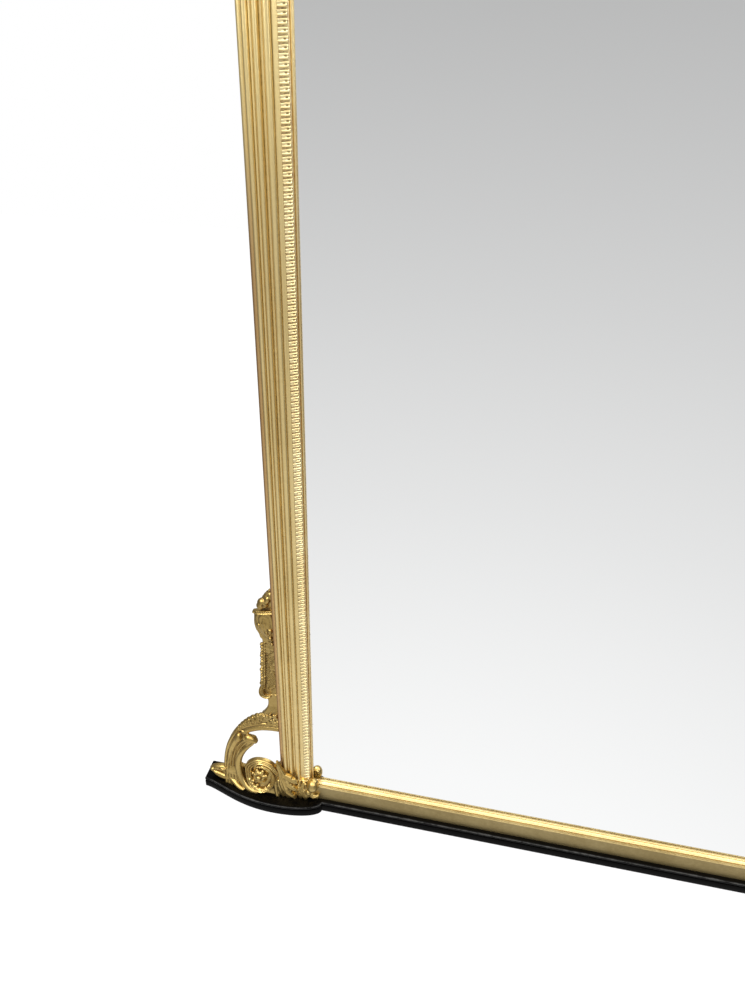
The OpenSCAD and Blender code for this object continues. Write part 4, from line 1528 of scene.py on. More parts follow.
@dataclass
class Bracket:
    """The carved scroll bracket outside a stile's foot, with its rosette, leaf and foot ornament.

    Carvings are measured outward from the stile's outer edge and up from the plinth's top. The
    bracket's face sweeps forward towards its foot, and depths written as a rise stand on that face.
    """

    shop: Workshop
    cell: float = 1.25
    back: float = 24.0
    stile_face: float = 56.2
    upper_face: float = 41.0
    flare: float = 27.0
    flare_height: float = 42.0
    ease_from: float = 80.0
    ease_run: float = 110.0
    ring_centre: Row = (50.0, 41.0)
    undercut: float = 37.0
    drum: tuple[Row, ...] = (
        (172, 53), (140, 53), (108, 56), (75, 56), (40, 51), (5, 41), (-30, 40.5), (-62, 41),
        (-95, 40), (-128, 40), (-160, 43),
    )
    eye: Row = (55.0, 44.0)
    rosette_radius: float = 19.0

    def face(self, out: np.ndarray, up: np.ndarray) -> np.ndarray:
        """Depth of the bracket's face at a place.

        Args:
            out: distance out from the stile.
            up: height over the plinth.
        Returns:
            The depth.
        """
        share = np.clip((np.asarray(out) - self.ease_from) / self.ease_run, 0, 1)
        near = 1 - share**2 * (3 - 2 * share)
        return (
            self.upper_face
            + (2 + self.flare * near) * np.exp(-np.maximum(up, 0) / self.flare_height)
        )

    def on_face(self, *rows: Row) -> list[Row]:
        """Rows of (out, up, rise, half width) with the rise turned into a depth."""
        return [(a, h, float(self.face(a, h)) + rise, half) for a, h, rise, half in rows]

    def bead(
        self, c: Carving, place: Row, radii: Row, turn: float = 0.0, blend: float = 1.0,
        cut: bool = False,
    ) -> None:
        """Adds or drills a bead whose middle stands (out, up, rise) on the face."""
        a, h, rise = place
        c.bead((a, h, float(self.face(a, h)) + rise), radii, turn, blend, cut)

    def scroll(self) -> Carving:
        """The arm, the leafy stem, the volute and the foot scroll.

        Returns:
            The carving.
        """
        c = Carving((-2, -2, 20), (198, 288, 76), self.cell, self.back)
        ring_a, ring_h = self.ring_centre
        turns = np.linspace(0, 2 * math.pi, 25)[:-1]
        circle = [(ring_a + 34 * math.cos(t), ring_h + 33 * math.sin(t)) for t in turns]
        c.slab(circle, lambda a, h: self.face(a, h) - 5.0, 2.0, steps=2)
        drum = [polar(self.ring_centre, r - 1.5, math.radians(t)) for t, r in self.drum]
        c.slab(drum, lambda a, h: self.face(a, h) - 5.0, 2.0, back=self.undercut)
        c.slab(
            [(-4, -4), (-4, 92), (4, 86), (14, 74), (28, 60), (40, 30), (60, -4)],
            lambda a, h: self.face(a, h) - 6.0
        )
        c.slab([(70, -4), (84, 40), (104, 46), (128, 34), (130, -4)], 36.0)
        c.slab(
            [
                (-4, 212), (-4, 290), (14, 292), (23, 290), (29, 272), (38, 257), (46, 244),
                (42, 218), (16, 214)
            ],
            lambda a, h: 40.0 - 7.0 * np.clip((h - 238) / 48, 0, 1)
        )
        self.arm(c)
        self.stem(c)
        self.volute(c)
        self.foot(c)
        c.clear((-40, -10, 0), (0.2, 300, 90))
        c.above(0.0)
        return c

    def arm(self, c: Carving) -> None:
        """The outer arm: a smooth doubled C-scroll, leaf along its top and punched ground inside.

        Args:
            c: the carving it is added to.
        """
        path = self.on_face(
            (-6, 217, 2, 12), (20, 216, 2, 12.5), (45, 212, 2, 13), (66, 204, 2, 13),
            (86, 192, 2, 12.5), (102, 175, 2, 12), (115, 154, 2, 12), (125, 131, 2, 12),
            (132, 107, 1, 12), (137, 82, 0, 12), (140, 56, -1, 12), (142, 30, -2, 11),
        )
        c.band(path, self._arm_relief, crown=1.5, shoulder=3.0)
        c.punch((14, 272), (16, 20), 0.9, 5.0, 3)
        rng = np.random.default_rng(21)
        for _ in range(36):
            size = float(rng.uniform(2.6, 4.4))
            self.bead(
                c, (float(rng.uniform(3, 31)), float(rng.uniform(226, 258)), -1.2),
                (size, size * 0.9, 3.4), blend=1.0,
            )
        leaf = self.on_face(
            (30, 243, 1, 11), (44, 239, 3, 14), (60, 231, 3.5, 12), (75, 220, 3.5, 10),
            (88, 207, 3, 8.5), (100, 192, 2.5, 7.5), (110, 178, 2, 6), (119, 162, 1.5, 5),
            (127, 146, 0, 4),
        )
        c.band(
            leaf, self._tooth_relief, crown=3.0, shoulder=2.5, blend=0.8, notches=(11, 0.3, 0.35),
            back=33.0,
        )
        for a, h, turn in (
            (47, 243, 58), (58, 237, 52), (69, 229, 46), (80, 220, 42), (90, 209, 38),
            (99, 198, 32), (108, 184, 26),
        ):
            self.bead(c, (a, h, 7), (2.3, 8.5, 6), turn - 62, 1.0, cut=True)

    def stem(self, c: Carving) -> None:
        """The broad fluted leaf that rises from the foot and curls over at its top.

        Args:
            c: the carving it is added to.
        """
        c.band(
            self.on_face((124, -6, 1, 24), (124, 12, 1, 24), (124, 34, 1, 21)), self._stem_relief,
            crown=4.0, shoulder=4.0,
        )
        path = self.on_face(
            (124, -6, 1, 24), (124, 14, 1, 24), (125, 38, 2, 22), (124, 64, 3, 19),
            (121, 90, 4, 18), (114, 114, 4, 20), (103, 136, 4, 22), (90, 153, 5, 20),
            (77, 164, 5, 15), (67, 169, 5, 9),
        )
        c.band(path, self._stem_relief, crown=4.0, shoulder=4.0, back=self.undercut + 2)
        for place, radii, turn in (
            ((73, 170, 5), (15, 10.5, 10), 24), ((103, 167, 5), (9.5, 16.5, 11), 15),
            ((88, 184, -1), (11, 5.5, 7), 14),
        ):
            self.bead(c, place, radii, turn, 1.2)
        self.bead(c, (61, 163, 3), (6.5, 7, 8), 0, 1.6)
        self.bead(c, (90, 171, 12), (4.2, 13, 10), -26, 1.6, cut=True)
        self.bead(c, (80, 156, 11), (2.8, 10, 7), -34, 1.4, cut=True)
        self.bead(c, (106, 148, 8), (2.4, 9, 5), -30, 1.2, cut=True)
        rim = self.on_face(
            (62, 161, 4, 4), (71, 148, 6, 5), (83, 134, 6, 6), (94, 119, 6, 7), (103, 103, 6, 8),
            (109, 87, 6, 8.5), (112, 70, 6, 8.5), (111, 52, 6, 8.5), (107, 34, 6, 8.5),
            (98, 18, 5, 8.5), (86, 7, 4, 8), (72, 1, 3, 7.5), (58, -3, 2, 7),
        )
        c.band(rim, plain, crown=3.5, shoulder=3.5, blend=0.8, back=self.undercut + 2)
        c.band(
            self.on_face(
                (154, 24, 0, 5), (141, 17, 3, 6.5), (125, 10, 5, 7), (109, 3, 5, 6.5),
                (96, -3, 3, 6),
            ),
            plain, *LOBE,
        )

    def volute(self, c: Carving) -> None:
        """The volute: a doubled ring, an inner turn and small leaves round the eye.

        Args:
            c: the carving it is added to.
        """
        c.band(
            self.on_face(
                (14, 66, -3, 4), (10, 54, 0, 9), (6, 38, 2, 13), (3, 18, 2, 14), (-2, -2, 1, 12)
            ),
            fluted(3, 2.4), 2.5, 3.0, 0.8,
        )
        turns = zip(
            (172, 140, 108, 75, 40, 5, -30, -62, -95, -128, -160, -190, -225, -262, -290),
            (
                50.0, 45.5, 47.5, 46.5, 42.5, 33.5, 33.0, 34.0, 33.5, 32.0, 31.0, 31.0, 32.0, 33.0,
                32.0,
            ),
            (4.0, 7.5, 9.0, 9.5, 9.0, 8.0, 7.5, 7.0, 6.5, 6.5, 6.0, 5.5, 5.0, 4.5, 2.5),
        )
        spiral = [(*polar(self.ring_centre, r, math.radians(t)), 3.5, w) for t, r, w in turns]
        c.band(
            self.on_face(*spiral), self._ring_relief, crown=1.5, shoulder=2.6, blend=0.6,
            back=self.undercut,
        )
        c.bead((29, 41, 66), (5.5, 20, 13), -6, cut=True)
        c.bead((36, 18, 70), (12, 3.6, 9), 28, cut=True)
        for a, h, r in (
            (72, 21, 5.2), (62, 15, 4.8), (51, 12, 4.2), (80, 31, 4.6), (70, 29, 4), (59, 20, 3.8)
        ):
            self.bead(c, (a, h, 1.5), (r, r * 0.8, r), blend=0.8)

    def foot(self, c: Carving) -> None:
        """The two small lobes that the stem rests on, out at the end.

        Args:
            c: the carving they are added to.
        """
        upper = self.on_face(
            (138, 36, 0, 7), (152, 37, 3, 8), (165, 34.5, 4, 8.5), (178, 29.5, 3.5, 8),
            (189, 22, 0, 5.5),
        )
        c.band(upper, fluted(1, 1.6), *LOBE, back=34.0)
        c.band(
            self.on_face(
                (138, 12, 3, 8), (152, 11, 5, 9), (166, 11, 5, 9), (178, 14, 3, 7), (187, 19, 0, 4)
            ),
            fluted(1, 1.6), *LOBE,
        )
        self.bead(c, (166, 22.5, 8), (22, 2.6, 8), -16, 1.2, cut=True)
        self.bead(c, (184, 27, 2), (6, 5, 5), -20)
        self.bead(c, (155, 38, 4), (9, 4.5, 4), -8)

    @staticmethod
    def _ring_relief(x: np.ndarray, t: np.ndarray, s: np.ndarray) -> np.ndarray:
        """Three ridges along the volute's turn, the outer one broad."""
        return (
            2.2 * ridge(x, 0.70, 0.26) + 2.2 * ridge(x, -0.72, 0.24) + 1.0 * ridge(x, 0.0, 0.2)
            - 2.2 * (ridge(x, 0.34, 0.13) + ridge(x, -0.34, 0.13))
        )

    @staticmethod
    def _tooth_relief(x: np.ndarray, t: np.ndarray, s: np.ndarray) -> np.ndarray:
        """Close leaf tips, side by side across the band."""
        return (
            2.6 * np.abs(np.cos(math.pi * (s / 13.4 - x * 0.35))) - 1.3
            + 0.6 * np.cos(2 * math.pi * (s / 5.1 + x * 0.5))
        )

    @staticmethod
    def _arm_relief(x: np.ndarray, t: np.ndarray, s: np.ndarray) -> np.ndarray:
        """A broad smooth roll along the arm's inner side and a narrow one outside it."""
        return 2.0 * ridge(x, -0.42, 0.5) + 1.6 * ridge(x, 0.66, 0.26) - 2.0 * ridge(x, 0.26, 0.15)

    @staticmethod
    def _stem_relief(x: np.ndarray, t: np.ndarray, s: np.ndarray) -> np.ndarray:
        """Deep flutes that spread up the stem.

        Args:
            x: place across the band.
            t: share of the band's length.
            s: length along it; not used.
        Returns:
            The height.
        """
        bowed = x - 0.14 * np.sin(3.0 * t)
        deep = 4.6 * (
            ridge(bowed, -0.72, 0.10) + ridge(bowed, -0.38, 0.12) + ridge(bowed, -0.03, 0.12)
            + 0.7 * ridge(bowed, 0.34, 0.1)
        )
        return 1.2 - deep * np.clip(0.3 + 2.2 * t, 0, 1) * np.clip(6.0 - 6.4 * t, 0, 1)

    def rosette(self) -> Carving:
        """The rosette in the volute's eye.

        Returns:
            The carving.
        """
        r, (a, h) = self.rosette_radius, self.eye
        low = float(self.face(a, h)) - 5.2
        c = Carving((a - r - 4, h - r - 4, low - 2), (a + r + 4, h + r + 4, low + 22), 0.9, low)
        petals = 7
        for i in range(petals):
            t = 2 * math.pi * (i + 0.3) / petals
            lean = -0.16 * math.sin(t) * r
            rows = [
                (*polar(self.eye, 4, t), low + 11, 3.6),
                (*polar(self.eye, 0.6 * r, t), low + 13.5 + 0.6 * lean, 6.6),
                (*polar(self.eye, 0.93 * r, t), low + 10 + lean, 4.6),
            ]
            c.band(rows, lambda x, t, s: -1.4 * ridge(x, 0, 0.3), 3.0, 2.6, 0.6)
        c.bead((a, h, low + 13), (7.0, 7.0, 6.0))
        for i in range(5):
            c.bead(
                (*polar(self.eye, 4.0, 2 * math.pi * i / 5), low + 15), (2.2, 2.2, 2.4), blend=0.5
            )
        return c

    def leaf(self) -> Carving:
        """The acanthus leaf that flares over the stile's foot.

        Returns:
            The carving.
        """
        c = Carving((-50, -2, 50), (14, 126, 74), 1.0, self.stile_face - 1.2)
        veins = fluted(3, 1.8)
        c.band(
            [
                (4, 118, 63, 3), (-3, 98, 65, 7), (-8, 78, 66.5, 11), (-13, 58, 67.5, 15),
                (-17, 38, 68, 17), (-21, 18, 67.5, 14), (-23, 0, 66, 8)
            ],
            veins, 3.5, 3.0, notches=(3, 0.22, 0.6),
        )
        for rows in (
            [(-4, 82, 65, 6), (-15, 74, 66.5, 9), (-28, 66, 67, 10), (-42, 58, 65.5, 6)],
            [(-6, 60, 66, 7), (-17, 50, 67.5, 10), (-29, 40, 68, 11), (-40, 32, 66, 6)],
            [(2, 48, 64, 6), (-1, 30, 66, 9), (-5, 13, 66.5, 9), (-10, 0, 65.5, 5)],
            [(-12, 30, 68, 6), (-22, 18, 69, 9), (-33, 8, 68, 8), (-40, 1, 66, 4)],
        ):
            c.band(rows, fluted(2, 1.6), *BROAD_LEAF, notches=(2, 0.24, 0.5))
        c.band(
            [(3, 106, 65, 2.4), (-6, 78, 69.0, 2.8), (-14, 46, 70, 2.8), (-20, 16, 69, 2.2)], plain,
            1.5, 2.0, 0.8,
        )
        c.above(0.0)
        return c

    def flowers(self) -> Carving:
        """The leafy cluster and the bud over the inner bottom corner.

        Returns:
            The carving.
        """
        c = Carving((-100, -2, 34), (-30, 80, 74), 1.0, 41.0)
        c.slab(
            [(-38, 0), (-38, 30), (-44, 50), (-60, 56), (-74, 46), (-84, 22), (-80, 0)], 50.0, 3.0
        )
        for rows in (
            ((-50, 52, 54, 4), (-46, 34, 58, 7), (-43, 14, 60, 8), (-40, 2, 58, 5)),
            ((-60, 50, 55, 5), (-56, 32, 60, 8), (-54, 14, 63, 9), (-52, 0, 61, 6)),
            ((-70, 40, 56, 5), (-67, 26, 61, 8), (-66, 12, 64, 9), (-66, 0, 62, 6)),
            ((-70, 28, 58, 5), (-78, 18, 61, 8), (-86, 9, 60, 8), (-94, 3, 56, 4)),
        ):
            c.band(rows, fluted(4, 1.4), *LEAF, notches=(3, 0.32, 0.9))
        rng = np.random.default_rng(11)
        for _ in range(20):
            a, h, size = rng.uniform(-70, -42), rng.uniform(4, 50), rng.uniform(2.4, 4.4)
            c.bead((a, h, 60.0 - 0.1 * h), (size, size, size), blend=0.8)
        c.punch((-58, 24), (30, 32), 0.7, 4.4, 5)
        c.bead((-82.5, 45, 50), (14.5, 19, 17), 6, blend=0.8)
        c.bead((-74, 28, 58), (8, 9, 9), 20, blend=0.8)
        c.band([(-76, 16, 60, 5), (-86, 12, 62, 6), (-96, 14, 58, 4)], fluted(2, 1.4), *SMALL_LEAF)
        c.above(0.0)
        return c

    def console(self) -> Carving:
        """The long console planted on the stile's outer edge.

        Returns:
            The carving.
        """
        c = Carving((-4, 262, 10), (49, 632, 50), 1.15, 14.0)
        core = [
            (-6, 258), (32, 258), (29, 272), (26, 290), (28, 302), (38, 308), (42, 318), (41, 340),
            (39, 360), (36, 394), (33, 435), (30, 474), (31, 488), (35, 499), (35, 511), (32, 528),
            (27, 545), (21, 556), (16, 568), (13, 582), (7, 594), (-6, 600),
        ]
        c.slab(core, 34.0, 3.0, steps=3)
        cup = [
            (-6, 480), (30, 484), (37, 499), (43, 511), (46, 528), (45, 547), (43, 560), (30, 563),
            (21, 573), (17, 586), (9, 599), (-6, 605)
        ]
        c.slab(cup, 34.0, 3.0, steps=3, back=27.0)
        c.slab(
            [(2, 318), (30, 320), (29, 360), (26, 420), (22, 476), (2, 478)], 31.5, 1.5, 1.4,
            hollow=True,
        )
        c.punch((14, 396), (18, 92), 1.3, 6.0, 8)
        c.punch((22, 528), (24, 38), 1.2, 6.5, 9)
        rng = np.random.default_rng(6)
        for i in range(17):
            h = 332 + i * 8.6
            size = float(rng.uniform(3.4, 5.6))
            c.bead(
                (38.5 - (h - 332) * 0.055 + float(rng.uniform(-1, 1)), h, 33),
                (size, size * 0.95, 5), blend=0.9,
            )
            c.bead((31.5 - (h - 332) * 0.05, h + 4, 33.5), (2.6, 3.6, 3), blend=0.9)
        for _ in range(26):
            h = float(rng.uniform(316, 500))
            c.bead(
                (float(rng.uniform(3, 24)), h, 31.5),
                (float(rng.uniform(2.5, 5)), float(rng.uniform(3, 7)), 2.2),
                float(rng.uniform(0, 90)), 1.4,
            )
        c.band(
            [
                (33, 346, 35, 4), (39, 332, 38, 6), (38, 318, 39, 7), (29, 311, 38, 6),
                (20, 313, 36, 4)
            ],
            rimmed, 1.0, 2.5, 0.8,
        )
        c.band(
            [(6, 482, 34, 8), (13, 500, 37, 15), (19, 522, 40, 21), (21, 546, 40, 22)],
            fluted(5, 1.2), 5.0, 4.0, 1.2,
        )
        c.band(
            [(43, 562, 38, 4.0), (34, 564, 41, 4.8), (18, 567, 42, 5), (2, 571, 42, 5)], rimmed,
            1.5, 2.5, 0.6, back=29.0,
        )
        c.bead((22, 589, 34), (12.5, 12.5, 10), 0)
        c.bead((29, 580, 35), (6.5, 9, 8), -35)
        c.bead((11, 600, 34), (7, 10, 8), 20)
        c.bead((5, 607, 31), (8, 11, 7))
        c.bead((18, 584, 43), (3.6, 8, 4), -20, cut=True)
        c.band(
            [(20, 600, 36, 5), (14, 610, 36, 5), (7, 621, 33, 3)], fluted(2, 1.2), 2.0, 2.0, 0.7,
            notches=(3, 0.3, 0.6), back=25.0,
        )
        for a, h, r in (
            (8, 516, 6), (17, 508, 4), (9, 494, 5), (6, 478, 4.6), (22, 536, 4.5), (33, 528, 4.2)
        ):
            c.bead((a, h, 38), (r, r * 1.1, r), blend=1.0)
        c.clear((-40, 200, 0), (0.1, 700, 90))
        return c

    def build(self) -> None:
        """Makes and fits the carvings on both sides."""
        origin = (DATUM.stile_edge, DATUM.plinth_top)
        for label, node, carving in (
            ("scroll_carving", "scroll_bracket", self.scroll()),
            ("rosette_carving", "bracket_rosette", self.rosette()),
            ("leaf_carving", "bracket_leaf", self.leaf()),
            ("flower_carving", "foot_ornament", self.flowers()),
            ("console_carving", "bracket_console", self.console()),
        ):
            skin = carving.skin()
            for side, name in SIDES:
                made = carving.object(f"{label}_{name}", side, origin, skin)
                self.shop.fit(made, Finish.GILT_CARVING, f"{node}_{name}")


@dataclass
class Crest:
    """The carved crest, measured from the middle of the frame's top edge."""

    shop: Workshop
    back: float = 9.0
    scroll_back: float = 13.0
    hang_back: float = 56.4
    cell: float = 1.6

    def scroll(self) -> Carving:
        """One acanthus scroll, from the cartouche out to its tail.

        Returns:
            The carving.
        """
        c = Carving((92, -2, 9), (524, 116, 52), self.cell, self.scroll_back)
        stem = [
            (88, 92, 40, 14), (130, 92, 41, 15), (180, 71, 42, 15), (232, 34, 43, 14),
            (284, 13, 44, 12)
        ]
        eye = (322, 50)
        turns = [
            (*polar(eye, r, math.radians(t)), 44 + 2 * k / 10, 11.5 - 0.55 * k)
            for k, (t, r) in enumerate(zip(np.linspace(-88, 300, 11), np.linspace(39, 13, 11)))
        ]
        c.band(stem + turns, rimmed, 1.5, 3.0, 0.6)
        c.slab([(290, 40), (304, 74), (340, 78), (354, 50), (338, 22), (306, 20)], 32.0)
        for i in range(7):
            t = 2 * math.pi * i / 7
            petal = [
                (*polar(eye, r, t), v, w) for r, v, w in ((3, 42, 3), (10, 45, 5), (15, 43, 3))
            ]
            c.band(petal, plain, 2.0, 2.0, 0.5)
        c.bead((*eye, 45), (5, 5, 4.5))
        c.band(
            [
                (326, 4, 40, 9), (372, 6, 42, 16), (420, 8, 42, 16), (468, 8, 40, 12),
                (516, 6, 36, 4)
            ],
            veined(13, 0.8, 1.5), 4.0, 3.0, 0.8, notches=(7, 0.35, 1.1),
        )
        c.band(
            [(356, 20, 40, 7), (376, 30, 43, 9), (398, 36, 41, 7), (414, 32, 38, 4)],
            fluted(3, 1.3), 3.0, 3.0, 0.8, notches=(3, 0.3, 0.8),
        )
        c.band(
            [
                (140, 86, 40, 7), (176, 76, 43, 11), (214, 72, 44, 13), (250, 80, 43, 11),
                (282, 98, 39, 4)
            ],
            veined(11, 0.8, 1.4), *BROAD_LEAF, notches=(5, 0.35, 1.0),
        )
        c.band(
            [(214, 44, 46, 5), (236, 22, 48, 9), (262, 14, 48, 9), (292, 20, 46, 5)],
            fluted(3, 1.2), *SMALL_LEAF, notches=(4, 0.3, 0.9),
        )
        for a, h, r in ((150, 60, 6), (166, 52, 5), (180, 46, 4)):
            c.bead((a, h, 34), (r, r, r))
        c.band(
            [(110, 74, 38, 6), (134, 66, 40, 8), (160, 56, 40, 6), (186, 44, 36, 3)],
            fluted(2, 1.2), *SMALL_LEAF, notches=(4, 0.3, 0.8),
        )
        c.above(0.0)
        return c

    def cartouche(self) -> Carving:
        """Half of the cartouche, which is mirrored to make the whole.

        Returns:
            The carving.
        """
        c = Carving((-6, -42, 6), (122, 162, 72), 1.3, self.back)
        c.slab(
            [
                (-12, -6), (36, -4), (56, 2), (94, 10), (116, 40), (96, 70), (102, 102), (70, 122),
                (46, 148), (-12, 158)
            ],
            50.0, 4.0, steps=4
        )
        # inner frame round the cabochon
        c.band(
            [
                (-8, 33, 62, 6), (20, 40, 62, 6), (38, 62, 62, 6), (42, 88, 62, 6),
                (32, 114, 62, 6), (14, 128, 62, 6), (-8, 132, 62, 6)
            ],
            rimmed, *SCROLL,
        )
        c.bead((0, 84, 68), (30, 42, 10), cut=True)
        # outer scrolls
        c.band(
            [
                (40, 26, 58, 7), (66, 14, 60, 8), (92, 20, 60, 8), (104, 40, 60, 8),
                (96, 58, 60, 7), (80, 60, 59, 6), (72, 48, 58, 4)
            ],
            rimmed, *SCROLL,
        )
        c.bead((82, 42, 58), (6, 6, 6))
        c.band(
            [
                (52, 70, 57, 6), (68, 74, 59, 7), (88, 82, 60, 7), (96, 98, 60, 7),
                (84, 112, 60, 6), (70, 108, 59, 5), (70, 98, 58, 3)
            ],
            rimmed, *SCROLL,
        )
        c.bead((80, 98, 58), (4.5, 4.5, 5))
        c.band(
            [(66, 118, 57, 5), (52, 132, 60, 7), (36, 146, 60, 6), (20, 150, 58, 5)],
            veined(9, 0.7, 1.3), *SMALL_LEAF, notches=(4, 0.3, 0.8),
        )
        c.band(
            [(50, 40, 55, 4), (58, 60, 58, 6), (56, 84, 58, 6), (50, 106, 57, 5), (40, 124, 56, 3)],
            fluted(2, 1.2), 2.0, 2.5, 0.8, notches=(5, 0.3, 0.8),
        )
        # leaf that hangs over the moulding
        c.clear((-20, -60, 0), (130, 0.2, self.hang_back))
        c.band(
            [(0, 34, 63, 12), (0, 14, 66, 20), (0, -4, 67, 24), (0, -22, 67, 17), (0, -38, 65, 5)],
            fluted(5, 1.5), *LEAF, notches=(4, 0.3, 0.9), back=self.hang_back,
        )
        c.band(
            [(18, 22, 62, 7), (34, 8, 64, 9), (44, -8, 64, 7), (42, -22, 62, 4)], fluted(3, 1.3),
            *SMALL_LEAF, notches=(3, 0.3, 0.8), back=self.hang_back
        )
        return c

    def cabochon(self) -> Carving:
        """The smooth boss in the cartouche.

        Returns:
            The carving.
        """
        c = Carving((-36, 42, 56), (36, 126, 86), 1.1, 58.0)
        c.bead((0, 84, 62), (24, 35, 22))
        for i in range(34):
            t = 2 * math.pi * i / 34
            c.bead((27 * math.cos(t), 84 + 38 * math.sin(t), 62), (2.6, 2.6, 3), blend=0.4)
        return c

    def plume(self) -> Carving:
        """The fan of leaves over the cartouche.

        Returns:
            The carving.
        """
        c = Carving((-46, 116, 58), (46, 190, 80), 1.1, 60.0)
        lobes = 7
        for i in range(lobes):
            away = i - (lobes - 1) / 2
            t = math.radians(90 + away * 24)
            reach = 59 * (1 - 0.11 * abs(away))
            leaf = ((0.08, 70, 4), (0.45, 73, 6.5), (0.78, 76, 8.5), (0.88, 75, 6.5))
            rows = [(*polar((0, 128), f * reach, t), v, w) for f, v, w in leaf]
            c.band(
                rows, lambda x, t, s: 1.2 * ridge(x, 0, 0.25) - 0.8 * ridge(np.abs(x), 0.5, 0.25),
                3.0, 2.5, 0.5,
            )
        c.bead((0, 130, 70), (11, 9, 8))
        for a in (-13, 13):
            c.bead((a, 126, 68), (7, 6, 7))
        return c

    def build(self) -> None:
        """Makes and fits the crest."""
        origin = (0.0, DATUM.frame_top)
        scroll = self.scroll()
        skin = scroll.skin()
        for side, name in SIDES:
            made = scroll.object(f"crest_scroll_carving_{name}", side, origin, skin)
            self.shop.fit(made, Finish.GILT_CARVING, f"crest_scroll_{name}")
        half = self.cartouche()
        half.mirror()
        for carving, label, node in (
            (half, "cartouche_carving", "crest_cartouche"),
            (self.cabochon(), "cabochon_boss", "crest_cabochon"),
            (self.plume(), "plume_carving", "crest_plume"),
        ):
            self.shop.fit(carving.object(label, 1, origin), Finish.GILT_CARVING, node)


# ---------------------------------------------------------------- plinth and back


